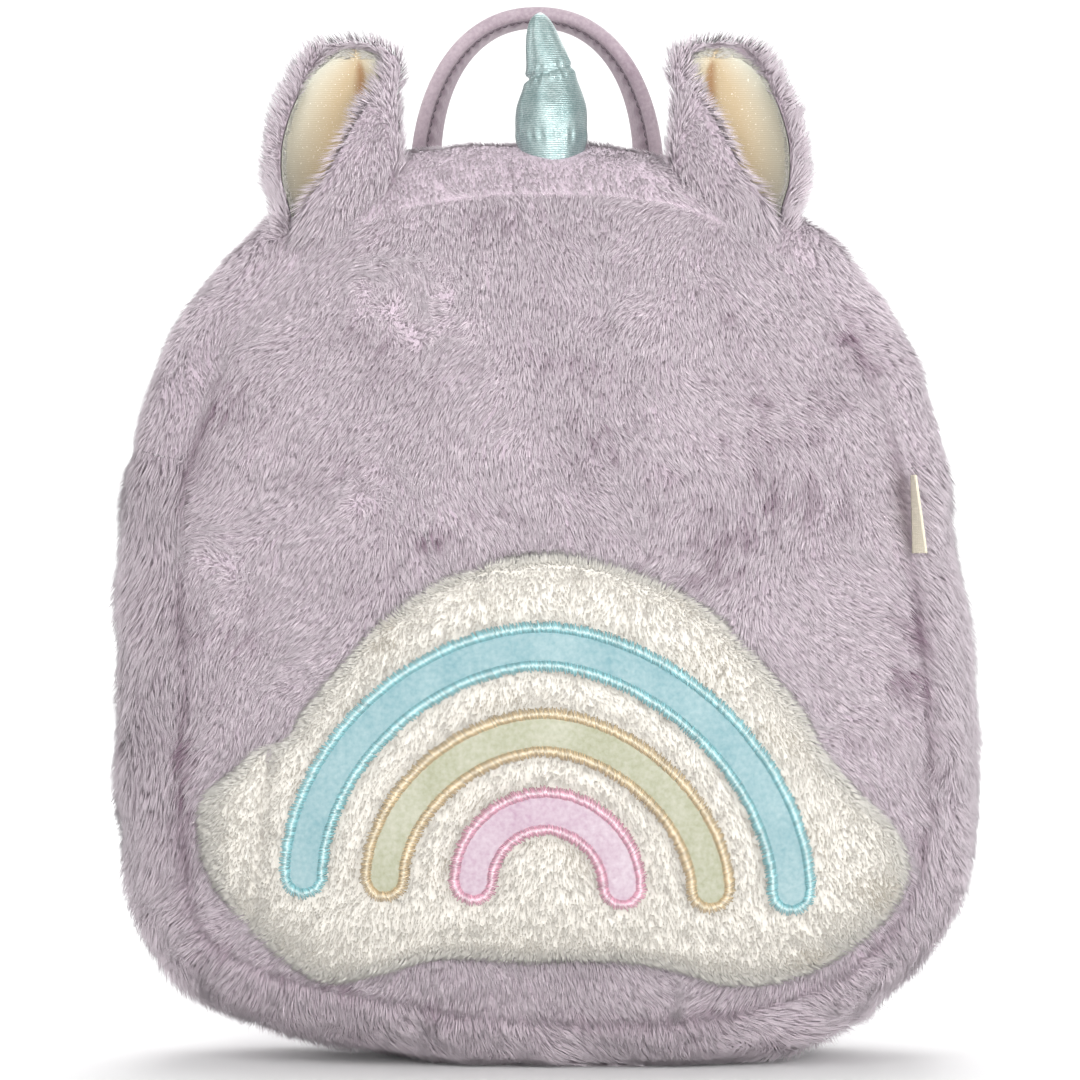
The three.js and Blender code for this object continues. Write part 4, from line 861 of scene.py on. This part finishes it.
# ---------------------------------------------------------------- horn
horn_curve = smooth(HORN, False)[0]
horn_up = np.concatenate([np.linspace(-0.2, 0.9, 70), 0.9 + 0.1 * np.sin(np.linspace(0, np.pi / 2, 12)[1:])])
horn_rows = np.stack([np.interp(horn_up, horn_curve[:, 0], horn_curve[:, k]) for k in (1, 2)], -1)
A, U = np.meshgrid(np.linspace(0, 2 * np.pi, 97)[:-1], horn_up)
THREAD_UP, THREAD_CLIMB, THREAD_WIDE, THREAD_DEEP = 0.475, 0.05, 0.022, 1.25  # shares of the height, and millimetres
groove_up = THREAD_UP + THREAD_CLIMB * (1 + np.cos(A))  # the thread climbs from the left to the right
groove = bell(U - groove_up, THREAD_WIDE) * (0.75 - 0.25 * np.cos(A))
pleat = lambda count, sway, centre, span: np.sin(count * A + sway * U) * bell(U - centre, span)
gathers = (0.28 * pleat(17, 6, groove_up - 0.035, 0.035) + 0.22 * pleat(14, -9, groove_up + 0.035, 0.035)
           + 0.26 * pleat(21, 4, 0.02, 0.05))
slack = 0.07 * waves(np.stack([np.cos(A) * 10, np.sin(A) * 10, U * 40], -1), 11.0, 12)
radius = horn_rows[:, :1] * HORN_R
away = radius - (THREAD_DEEP * groove - gathers - slack) * np.clip(radius / 5, 0, 1)
horn_points = np.stack([HORN_X + horn_rows[:, 1:] * HORN_R + away * np.cos(A), HORN_Y + away * np.sin(A),
                        top_z(HORN_X) + U * HORN_H], -1)
horn = add_rings("horn_knit", horn_points, AQUA_FOIL, ("horn",), caps=1)

# ---------------------------------------------------------------- handle
handle_top = top_z(HANDLE_X)
handle_sunk = float(inset(np.array(HANDLE_Y + HANDLE_D))) + FUR_WALL


def handle_line(angle):
    """Arch of the handle's roll: an arch of exponent 2.2, sunk into the bag at its feet."""
    c, s = np.cos(angle), np.sin(angle)
    half, rise = HANDLE_SPAN / 2 - ROLL / 2, HANDLE_RISE + handle_sunk - ROLL / 2
    return np.stack([HANDLE_X + half * np.sign(c) * np.abs(c) ** (2 / 2.2), 0 * c,
                     handle_top - handle_sunk + rise * np.abs(s) ** (2 / 2.2)], -1)


angle = np.linspace(0, np.pi, 700)
path = handle_line(angle)
length = run(path)
HANDLE_ROWS = 260
even = np.interp(np.linspace(0, length[-1], HANDLE_ROWS), length, angle)
spot, reach_mm = handle_line(even), np.linspace(0, length[-1], HANDLE_ROWS)


def handle_outwards(at):
    """Direction away from the middle of the arch at an angle of it."""
    way = unit(handle_line(at + 1e-3) - handle_line(at - 1e-3))
    return np.stack([way[:, 2], 0 * at, -way[:, 0]], -1)


handle_lean = lambda at: FOOT_LEAN + (CROWN_LEAN - FOOT_LEAN) * np.sin(at)
ROLL_R, ROLL_OUT, NECK_BEHIND = 2.05, 0.95, 2.6  # the roll stands a little outside the flat part and its seam
roll_angle = np.radians(np.linspace(60, 290, 18))
roll_part = np.stack([ROLL_R + 0.1 + ROLL_R * np.cos(roll_angle), ROLL_OUT + ROLL_R * np.sin(roll_angle)], -1)
flap_share = np.concatenate([[0, 0.04, 0.1, 0.18, 0.27], np.linspace(0.37, 1, 8)])
pucker = np.sin(2 * np.pi * reach_mm / 4.4 + 2.6 * np.sin(reach_mm / 8))


def flap_side(sign, shares):
    """One face of the handle's flat part: it leans inwards away from the roll, is thin at its seam and puckered beside
    it, and has a soft turned edge."""
    behind = np.broadcast_to(NECK_BEHIND + (HANDLE_D - NECK_BEHIND) * shares, (len(even), len(shares)))
    thick = (0.75 + (HANDLE_THICK / 2 - 0.75) * ramp(shares, 0, 0.25)) * np.sqrt(np.clip(1.02 - shares**10, 0, 1))
    swell = 0.25 * pucker[:, None] * bell(shares - 0.3, 0.25) * (1 - 0.3 * sign)
    return np.stack([behind, swell - 0.2 - handle_lean(even)[:, None] * shares + sign * thick], -1)


section = np.concatenate([np.broadcast_to(roll_part, (len(even),) + roll_part.shape), flap_side(-1, flap_share),
                          flap_side(1, flap_share[::-1])], 1)
ring = (spot[:, None] + handle_outwards(even)[:, None] * section[..., 1:]
        + np.array([0, 1, 0]) * (section[..., :1] + HANDLE_Y))
# Painted shade on the handle, carried by the attribute pile: darker along the seam at the roll's neck and in the
# hollows between puckers.
from_neck = np.concatenate([np.full(len(roll_part), 1.0), flap_share * 2.2, flap_share[::-1] * 2.2])
from_neck[[0, len(roll_part) - 1]] = 0.15
painted_seam_shade = np.clip(from_neck, 0, 1)[None] ** 0.5 - 0.22 * (1 - pucker[:, None]) / 2 * bell(from_neck - 0.7, 0.6)
painted_seam_shade = np.where(np.arange(ring.shape[1]) < len(roll_part), np.clip(from_neck, 0, 1), painted_seam_shade)
handle_shades = np.repeat(np.clip(painted_seam_shade, 0, 1)[..., None], 4, -1)
add_rings("handle_velour", ring, SEAM_SHADED_VELOUR, ("handle",), shades=handle_shades)
seam_at = np.arange(2.0, length[-1] - 4, 2.4)
for sign, word, side_out in ((1, "outer", 0.9), (-1, "inner", -1.5)):
    first, last = (np.interp(seam_at + extra, length, angle) for extra in (0.0, 1.7))
    first, last = (handle_line(at) + handle_outwards(at) * side_out + [0, HANDLE_Y + NECK_BEHIND - 0.1, 0]
                   for at in (first, last))
    out = handle_outwards(np.interp(seam_at + 0.85, length, angle)) * sign
    bars(f"handle_stitches_{word}", first, last, np.full(len(seam_at), 0.25), out, 0.9, 0.5, VELOUR_THREAD,
         np.zeros(len(seam_at)))


# ---------------------------------------------------------------- straps, webbing, zip and label
def route(rows, side, trim_start=0.0, trim_end=0.0):
    """Smooth route through a table's rows, with its ends moved inwards along it by the trims."""
    points = np.array([(side * s * BODY_W / 2, BACK + BACK_DOME + off * STRAP_BOW, u * BODY_H) for s, off, u in rows])
    whole = smooth(points, False)
    _, way = along(whole, np.array([0.0, 1.0]))
    if trim_start:
        points[0] += way[0] * trim_start
    if trim_end:
        points[-1] -= way[1] * trim_end
    return smooth(points, False)


def sweep(name, curve, section_at, count, material, replaced):
    """A section carried along a route, its width as near to X as the route allows, with both ends capped."""
    t = np.linspace(0, 1, count)
    at, way = along(curve, t)
    wide = unit(np.array([1.0, 0, 0]) - way * way[:, :1])
    thick = np.cross(way, wide)
    section = section_at(t)
    ring = at[:, None] + wide[:, None] * section[..., :1] + thick[:, None] * section[..., 1:]
    return add_rings(name, ring, material, replaced)


CHANNEL_IN, CHANNEL_WIDE, CHANNEL_DEEP = 4.2, 1.4, 0.3  # a strap's sewn channel; its depth is a share of the pad's


def strap_section(t):
    """Padded strap: a flat pad with a sewn channel near each edge and a thin rolled edge outside it."""
    width = np.interp(t * 6, np.arange(7), STRAP_WIDTHS) * STRAP_W / 2
    a = np.linspace(0, 2 * np.pi, 61)[:-1]
    c, s = np.cos(a), np.sin(a)
    w = width[:, None] * np.sign(c) * np.abs(c) ** 0.35
    from_edge = width[:, None] - np.abs(w)
    pad = STRAP_THICK / 2 * (1 - CHANNEL_DEEP * bell(from_edge - CHANNEL_IN, CHANNEL_WIDE))
    h = pad * np.sign(s) * np.abs(s) ** 0.75
    return np.stack([w, h + 0.12 * np.sin(t * 150)[:, None] * np.exp(-(from_edge / 6) ** 2)], -1)


def webbing_section(t):
    """Webbing: a flat ribbon with rounded edges and a shallow rib along each side."""
    a = np.linspace(0, 2 * np.pi, 41)[:-1]
    c, s = np.cos(a), np.sin(a)
    w = WEBBING_W / 2 * np.sign(c) * np.abs(c) ** 0.25
    h = WEBBING_THICK / 2 * np.sign(s) * np.abs(s) ** 0.4 * (1 - 0.08 * np.cos(w * 2.2))
    return np.broadcast_to(np.stack([w, h], -1), (len(t), len(a), 2))


for side, word in ((-1, "left"), (1, "right")):
    strap = sweep(f"shoulder_strap_{word}_pad", route(STRAP, side, 0, BAR_REACH), strap_section, 110, VELOUR,
                  (f"shoulder_strap_{word}",))
    sweep(f"strap_webbing_{word}_weave", route(WEBBING, side, BAR_REACH, 0), webbing_section, 44, WEBBING_CLOTH,
          (f"strap_webbing_{word}",))

tape_t = np.linspace(ZIP_FROM, ZIP_TO, 90)[:, None]
tape_half = ZIP_SLOT / 2 - GAP
tape_y = np.array([-tape_half, -tape_half * 0.7, -2.6, 2.6, tape_half * 0.7, tape_half])
tape = np.concatenate([gusset(tape_t, ZIP_Y + tape_y[None], ZIP_SINK),
                       gusset(tape_t, ZIP_Y + tape_y[None, ::-1], ZIP_SINK + 1.2)], 1)
add_rings("zip_tape_weave", tape, ZIP_TAPE, ("zip_tape",))
COIL_PITCH, COIL_STEPS, COIL_R, COIL_WIRE = 1.5, 9, 2.0, 0.33
coil_count = int((ZIP_TO - ZIP_FROM) * BODY_LENGTH / COIL_PITCH) - 6
turn = np.arange(coil_count * COIL_STEPS)
coil_t = ZIP_FROM + (3 * COIL_PITCH + turn / COIL_STEPS * COIL_PITCH) / BODY_LENGTH
phase = 2 * np.pi * turn / COIL_STEPS
ring_a = np.linspace(0, 2 * np.pi, 6)[:-1]
coil_y = COIL_R * np.cos(phase)[:, None] + COIL_WIRE * np.cos(ring_a)[None] * np.cos(phase)[:, None]
coil_h = 0.72 + 0.42 * np.sin(phase)[:, None] + COIL_WIRE * np.cos(ring_a)[None] * np.sin(phase)[:, None]
coil = gusset(coil_t[:, None] + COIL_WIRE * np.sin(ring_a)[None] / BODY_LENGTH, ZIP_Y + coil_y, ZIP_SINK - coil_h)
add_rings("zip_coil", coil, COIL_NYLON)

LABEL_ROWS, LABEL_OUT, LABEL_FOLD, LABEL_BEND = 30, 9.0, 0.4, 5  # points down it, reach, radius and points of its fold
low, high = (np.array(c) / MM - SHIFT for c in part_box("side_label"))
label_edge = gusset(np.linspace(0.05, 0.45, 4001), -FRONT, 0.0)
label_z = np.linspace(high[2], low[2], LABEL_ROWS)
label_x = np.interp(label_z, label_edge[:, 2], label_edge[:, 0]) + np.linspace(1.2, -1.6, LABEL_ROWS)
label_root = np.stack([label_x, np.full(LABEL_ROWS, -FRONT - 0.6), label_z], -1)
label_turn = np.radians(np.linspace(2, 20, LABEL_ROWS))
out = np.stack([np.sin(label_turn), -np.cos(label_turn), 0 * label_turn], -1)
over = np.stack([np.cos(label_turn), np.sin(label_turn), 0 * label_turn], -1)
bend = np.linspace(0, np.pi, LABEL_BEND + 2)[1:-1]
label_s = np.concatenate([np.linspace(0, LABEL_OUT, 12), LABEL_OUT + LABEL_FOLD * np.sin(bend),
                          np.linspace(LABEL_OUT, 0, 12)])
label_w = np.concatenate([np.full(12, 0.0), LABEL_FOLD * (1 - np.cos(bend)), np.full(12, 2 * LABEL_FOLD)])
ring = label_root[:, None] + out[:, None] * label_s[None, :, None] + over[:, None] * label_w[None, :, None]
add_rings("side_label_tape", ring, LABEL_TAPE, ("side_label",))


# ---------------------------------------------------------------- pile
PARTINGS = [  # where the front's pile parts and shows its darker depth, painted as shade: x, z, half length, half width, slope
    (-87, 196, 13, 5, -15), (21, 184, 12, 9, -55), (68, 190, 17, 9, 25), (49, 229, 8, 3, -60), (-6, 249, 16, 3, -5),
    (48, 152, 15, 8, 30), (-92, 132, 9, 6, 20), (-45, 211, 12, 3, -30), (80, 168, 10, 7, 40), (-60, 176, 9, 4, 10),
    (5, 207, 12, 3, -20), (88, 222, 10, 4, -60), (-28, 158, 14, 5, 15), (104, 120, 7, 12, 10), (-104, 90, 6, 12, -10),
]


def parted(points):
    """How far the pile is parted, 0 to 1: bells over the places of the table, broken up by noise, and small specks. The
    hairs stand up by it, and their tint darkens by it as painted shade.
    """
    total = np.zeros(len(points))
    broken = 0.4 + 0.35 * waves(points, 11.0, 65) + 0.55 * waves(points * [1, 1, 0.45], 2.6, 67)
    for x, z, long, wide, slope in PARTINGS:
        c, s = np.cos(np.radians(slope)), np.sin(np.radians(slope))
        dx, dz = points[:, 0] - x, points[:, 2] - z
        inside = ((dx * c + dz * s) / long / 1.3) ** 2 + ((dz * c - dx * s) / wide / 1.5) ** 2
        total += np.exp(-inside) * (points[:, 1] < 0)
    specks = ramp(waves(points * [0.8, 1, 1.5], 16.0, 66), 0.7, 2.2) * np.clip(broken, 0, 1)
    return np.clip(total * broken, 0, 1) * 0.8 + specks * 0.45


def swirled(base, points, seed, strength=1.0):
    """A flow turned in patches of three sizes."""
    for size, share, first in ((60.0, 0.34, 20), (18.0, 0.15, 30), (6.0, 0.07, 50)):
        base = base + np.stack([waves(points, size, seed + first + k) for k in range(3)], -1) * share * strength
    return base


def front_flow(points):
    """The front panel's pile lies downwards, and out to the sides towards its rim."""
    x = points[:, 0] / 128
    return swirled(np.stack([0.75 * x, 0 * x, -0.95 + 0 * x], -1), points, 0)


def gusset_flow(points):
    """The gusset's pile lies down at the sides, and over the crown it runs to the seam that is nearer."""
    x, z = points[:, 0] / 128, points[:, 2]
    crown, behind = ramp(z, 205, 264), ramp(points[:, 1], -8, 24)
    back = (0.25 + 0.6 * crown) * (2 * behind - 1)
    return swirled(np.stack([0.4 * x, back, -0.85 * (1 - 0.8 * crown)], -1), points, 7, 1 - 0.5 * crown[:, None])


def clear_of_fittings(points):
    """0 where the horn or a foot of the handle stands in the pile, rising to 1 a few millimetres away."""
    x, y = points[:, 0], points[:, 1]
    horn_far = np.hypot(x - HORN_X, y - HORN_Y) - HORN_R * 0.95
    beside = np.abs(np.abs(x - HANDLE_X) - (HANDLE_SPAN - ROLL) / 2 + 2) - ROLL / 2 - 1
    along_y = np.maximum(HANDLE_Y - y, y - HANDLE_Y - HANDLE_D)
    handle_far = np.hypot(np.maximum(beside, 0), np.maximum(along_y, 0))
    high = points[:, 2] > 240
    return np.where(high, np.minimum(ramp(horn_far, -1.5, 4.0), ramp(handle_far, -0.5, 3.0)), 1.0)


FUR_WIDE = 0.3  # several times a real hair's width, so that a hair shows


def fur(name, surface, count, seed, weight=None, pieces=1, length=5.5, flow=gusset_flow, wrap=False,
        centre=(0, 0, CENTRE_Z), raised=17, stood=0, ridge=8.0, edge=None):
    """Long pile over a surface. It lies close, stands up where it is parted and shorter on the crown, and each hair has
    its own length, lean and tone. Its tint is lowered as painted shade where the pile stands up or is parted, and along
    the front seam."""
    rows, cols = surface.shape[:2]
    quads = sheet_faces(rows, cols, False, wrap)
    roots, normals, rng = scatter(surface.reshape(-1, 3), quads, count, seed, centre, weight)
    keep = clear_of_fittings(roots) > 0.02
    roots, normals = roots[keep], normals[keep]
    count = len(roots)
    part = parted(roots)
    stand = waves(roots, 30.0, 60) * 0.7 + waves(roots, 10.0, 61) * 0.4
    up = stood * ramp(normals[:, 2], 0.1, 0.7)
    lift = np.radians(raised + up + 3 * stand + 14 * part + rng.normal(0, 3.0, count)).clip(0.08, 1.1)
    crown = 1 - 0.3 * ramp(roots[:, 2], 255, 270)
    long = length * (1 + 0.06 * waves(roots, 12.0, 62) + rng.normal(0, 0.14, count)).clip(0.5, 1.35)
    long *= crown * (0.45 + 0.55 * clear_of_fittings(roots))
    # a band along the front seam, whose darker tint below is painted shade
    seam = bell(roots[:, 1] + FRONT, 1.5) * ramp(roots[:, 2], 225, 190)
    # tint: tone at random, with painted shade where the pile stands up, where it is parted and along the front seam
    tint = 0.66 - 0.06 * stand - 0.5 * part - 0.33 * seam + rng.normal(0, 0.065, count)
    lean = flow(roots) + rng.normal(0, 0.08, (count, 3))
    level = ramp(np.abs(normals[:, 2]), 0.2, 0.8) if edge is None else edge
    turned = np.tanh((roots[:, 1:2] - ridge) / 3) * np.array([0, 0.8, 0]) * np.reshape(level, (-1, 1))
    turned = turned + np.array([0, -0.7, 0.5]) * (ramp(-normals[:, 2], 0.05, 0.6) * ramp(roots[:, 1], 0, -20))[:, None]
    return pile(name, roots, normals, lean, lift, long, FUR_WIDE * rng.uniform(0.7, 1.2, count), tint, LILAC_HAIR,
                pieces=pieces, turned=turned)


def off_the_cloud(centres):
    """Weight of the front's pile: none well under the cloud, where it can't be seen."""
    x, z = (centres[:, 0] - CLOUD_X), (centres[:, 2] - CLOUD_Z)
    rim_points = along(CLOUD_RIM, np.linspace(0, 1, 400)[:-1], True)[0]
    rim_angle = np.arctan2(rim_points[:, 1], rim_points[:, 0])
    order = np.argsort(rim_angle)
    far = np.interp(np.arctan2(z, x), rim_angle[order], np.hypot(*rim_points[order].T), period=2 * np.pi)
    return np.where(np.hypot(x, z) < far - 3.0, 0.0, 1.0)


def mostly_seen(centres):
    """Weight of the gusset's pile: thinner under the base and behind the fullest line."""
    return np.where(centres[:, 2] < 3, 0.15, 1.0) * np.where(centres[:, 1] > 10, 0.75, 1.1)


fur("front_pile", front_face, 69000, 101, off_the_cloud, pieces=2, wrap=True, flow=front_flow)
fur("gusset_lower_pile", strips["gusset_lower"][0], 49000, 102, mostly_seen, pieces=2, length=7.4, raised=24)
fur("gusset_top_front_pile", strips["gusset_top_front"][0], 15500, 103)
fur("gusset_top_back_pile", strips["gusset_top_back"][0], 7500, 104)


def ear_flow(points):
    """The ears' pile runs up and out towards their rims, and on the flap in front down along the flap's edge."""
    side = np.sign(points[:, :1])
    rim = np.concatenate([side * 0.7, -0.25 + 0 * side, 0.75 + 0 * side], 1)
    flap = np.concatenate([side * 0.42, 0 * side, -0.85 + 0 * side], 1)
    base = rim + (flap - rim) * ramp(EAR_Y - points[:, 1:2], 2, 8)
    return base + np.stack([waves(points, 14.0, 70 + k) for k in range(3)], -1) * 0.2


for number, (word, ring) in enumerate(ear_rings.items()):
    share = np.concatenate([np.linspace(0, 1, EAR_COLS), np.linspace(1, 0, EAR_COLS)])
    inside = np.arange(2 * EAR_COLS) >= EAR_COLS
    margin = lined_short(EAR_ROWS)[:, None] / 290 + 0.01
    lined = inside[None] & (np.minimum(share, 1 - share)[None] > margin) & (EAR_ROWS[:, None] < LINED_TO)
    weight = np.where(lined, 0.0, np.where(inside[None], 2.4, 1.0)) * np.ones((len(EAR_ROWS), 1))
    fur(f"ear_{word}_pile", ring, 9500, 110 + number, weight, length=7.2, flow=ear_flow, wrap=True,
        centre=ring.mean((0, 1)), raised=27, stood=28, ridge=ring[..., 1].mean() + 3, edge=1.0)


def cloud_flow(points, rim_near):
    """The plush lies downwards in small patches, and outwards along the cloud's rim."""
    x, z = points[:, 0] - CLOUD_X, points[:, 2] - CLOUD_Z + 20
    out = unit(np.stack([x, 0 * x, z], -1))
    patch = np.stack([waves(points, 20.0, 80 + k) for k in range(3)], -1)
    return out * (0.25 + 1.3 * rim_near[:, None]) + patch * 0.12 + [0, 0, -0.7]


def off_the_bands(centres):
    """Weight of the plush: none under the bands."""
    return np.where(from_bands(centres[:, 0], centres[:, 2]) < BAND_HALF + 1.0, 0.0, 1.0)


to_rim = np.clip((cloud_r[:-1] - 0.8) / 0.2, 0, 1) * np.ones((1, CLOUD_SIDES))
cloud_points, cloud_quads = cloud_face.reshape(-1, 3), sheet_faces(len(cloud_face), CLOUD_SIDES, False, True)
cloud_weight = (1 + 1.3 * to_rim).ravel() * off_the_bands(cloud_points[cloud_quads].mean(1))
roots, normals, rng = scatter(cloud_points, cloud_quads, 31000, 120, (CLOUD_X, 0, CLOUD_Z), cloud_weight)
near_band = ramp(from_bands(roots[:, 0], roots[:, 2]) - BAND_HALF, 1.0, 4.5)
rim_near = ramp(-normals[:, 1], 0.95, 0.5)
warm = ramp(waves(roots, 30.0, 91), 0.3, 1.8) * 0.3
count = len(roots)
# The plush's tint rises by 0.3 at the rim: painted light, so that the rim, turned from the lamps, stays as bright as
# the face.
pile("cloud_pile", roots, normals, cloud_flow(roots, rim_near), np.radians(30 - 4 * rim_near + rng.normal(0, 5, count)),
     (1.5 + 0.3 * near_band + 2.8 * rim_near) * rng.uniform(0.7, 1.2, count),
     (0.25 + 0.12 * rim_near) * rng.uniform(0.7, 1.2, count),
     0.42 + 0.3 * rim_near - 0.6 * warm + rng.normal(0, 0.05, count), CREAM_HAIR,
     turned=np.array([0, -1.0, 0]) * (1 + 1.5 * rim_near[:, None]))

for number, (word, face) in enumerate(lined_faces.items()):
    rows, cols = face.shape[:2]
    r, c = np.arange(rows - 1)[:, None], np.arange(cols - 1)[None]
    border = (np.minimum(c, cols - 2 - c) < 2) | (r > rows - 4)
    roots, normals, rng = scatter(face.reshape(-1, 3), sheet_faces(rows, cols), 1500, 130 + number,
                                  face.mean((0, 1)) + [0, 60, 0], border.astype(float))
    count = len(roots)
    middle = np.stack([np.interp(roots[:, 2], face[:, 0, 2], face[:, cols // 2, k]) for k in range(3)], -1)
    brushed = unit(roots - middle) + [0, -0.35, 0.25] + rng.normal(0, 0.12, (count, 3))
    pile(f"ear_lining_{word}_nap", roots, normals, brushed, np.radians(rng.uniform(15, 45, count)),
         rng.uniform(1.4, 2.6, count), 0.28 * rng.uniform(0.7, 1.2, count), rng.uniform(0.5, 0.8, count), CREAM_HAIR,
         turned=np.array([0, -2.0, 0]))

# ---------------------------------------------------------------- studio
PALE, pale_tree = new_material("painted studio board, white", Roughness=0.9, Specular_IOR_Level=0.1)
board_tone = node(pale_tree, NOISE, {"Scale": 3.0}, Vector=node(pale_tree, PLACE).outputs["Object"])
fed(PALE, node(pale_tree, RAMP, {"stops": [(0.0, "#f4f4f4"), (1.0, "#f7f7f7")]}, i0=board_tone.outputs[0]).outputs[0])
WALL_FROM, WALL_BEND, BOARD_REACH = 3400, 600, 30000  # the board curves up behind the camera of a view from the back
board_turn = np.linspace(0.1, np.pi / 2, 14)
sweep_line = np.concatenate([
    np.stack([np.linspace(-BOARD_REACH, WALL_FROM, 24), np.full(24, 0.0)], -1),
    np.stack([WALL_FROM + WALL_BEND * np.sin(board_turn), WALL_BEND - WALL_BEND * np.cos(board_turn)], -1),
    np.stack([np.full(6, WALL_FROM + WALL_BEND), np.linspace(800, 2800, 6)], -1),
])
wide_x = np.linspace(-BOARD_REACH, BOARD_REACH, 8)[None]
board_y, board_z = sweep_line[:, :1], sweep_line[:, 1:] - 0.2
board = np.stack(np.broadcast_arrays(wide_x, board_y, board_z), -1)
me = bpy.data.meshes.new("studio_floor")
me.from_pydata((board.reshape(-1, 3) * MM).tolist(), [], sheet_faces(len(sweep_line), 8).tolist())
me.materials.append(PALE)
floor = bpy.data.objects.new("studio_floor", me)
bpy.context.scene.collection.objects.link(floor)


def light(name, at, size, power, aim=(0, 0, 0.15)):
    """A soft square lamp, white, that faces aim."""
    lamp = bpy.data.lights.new(name, "AREA")
    lamp.size, lamp.energy = size, power
    ob = bpy.data.objects.new(name, lamp)
    ob.location, ob.visible_camera = at, False
    ob.rotation_euler = (Vector(aim) - Vector(at)).to_track_quat("-Z", "Y").to_euler()
    bpy.context.scene.collection.objects.link(ob)


light("key", (-1.0, -1.5, 1.3), 1.2, 12)
light("fill", (1.3, -1.6, 0.7), 1.4, 11)
light("front", (0.1, -2.3, 0.25), 1.6, 14.5)
light("top", (0.0, 0.4, 2.0), 1.6, 10.5)
light("back", (0.3, 1.6, 1.2), 1.4, 11)
light("left", (-1.8, 0.3, 0.5), 1.0, 7)
light("right", (1.8, 0.3, 0.5), 1.0, 7)
light("low", (0.0, -1.4, 0.07), 0.8, 8, aim=(0, 0, 0.0))
light("glint", (0.96, -1.15, 0.5), 0.16, 3, aim=(0, 0, 0.3))
light("backdrop", (0.0, 2.7, 2.2), 1.8, 30, aim=(0, 4.0, 0.5))
light("floor", (0.0, 1.5, 2.3), 1.6, 20, aim=(0, 1.9, 0))
AMBIENT = 0.44  # strength of the even light from all round
world = bpy.data.worlds.new("studio")
bpy.context.scene.world = world
world.use_nodes = True
world.node_tree.nodes["Background"].inputs[0].default_value = (1, 1, 1, 1)
world.node_tree.nodes["Background"].inputs[1].default_value = AMBIENT
bpy.context.scene.view_settings.view_transform = "Standard"

CAMERA_FAR = 1.3  # metres from the tables' zero depth, which lies 4 mm in front of the gusset's middle
CAMERA_LEFT, CAMERA_HIGH = 0.001, 0.1554  # metres beside the bag's middle and over the floor
FRAME_WIDE = 1080 * 0.3 * MM  # what the frame spans at that distance, 0.3 mm to a pixel of the photo
camera = bpy.data.cameras.new("camera")
camera.sensor_width = 36.0
camera.lens = camera.sensor_width * CAMERA_FAR / FRAME_WIDE
view_point = bpy.data.objects.new("camera", camera)
view_point.location = (SHIFT[0] * MM - CAMERA_LEFT, SHIFT[1] * MM - CAMERA_FAR, CAMERA_HIGH)
view_point.rotation_euler = (np.pi / 2, 0, 0)
bpy.context.scene.collection.objects.link(view_point)
bpy.context.scene.camera = view_point
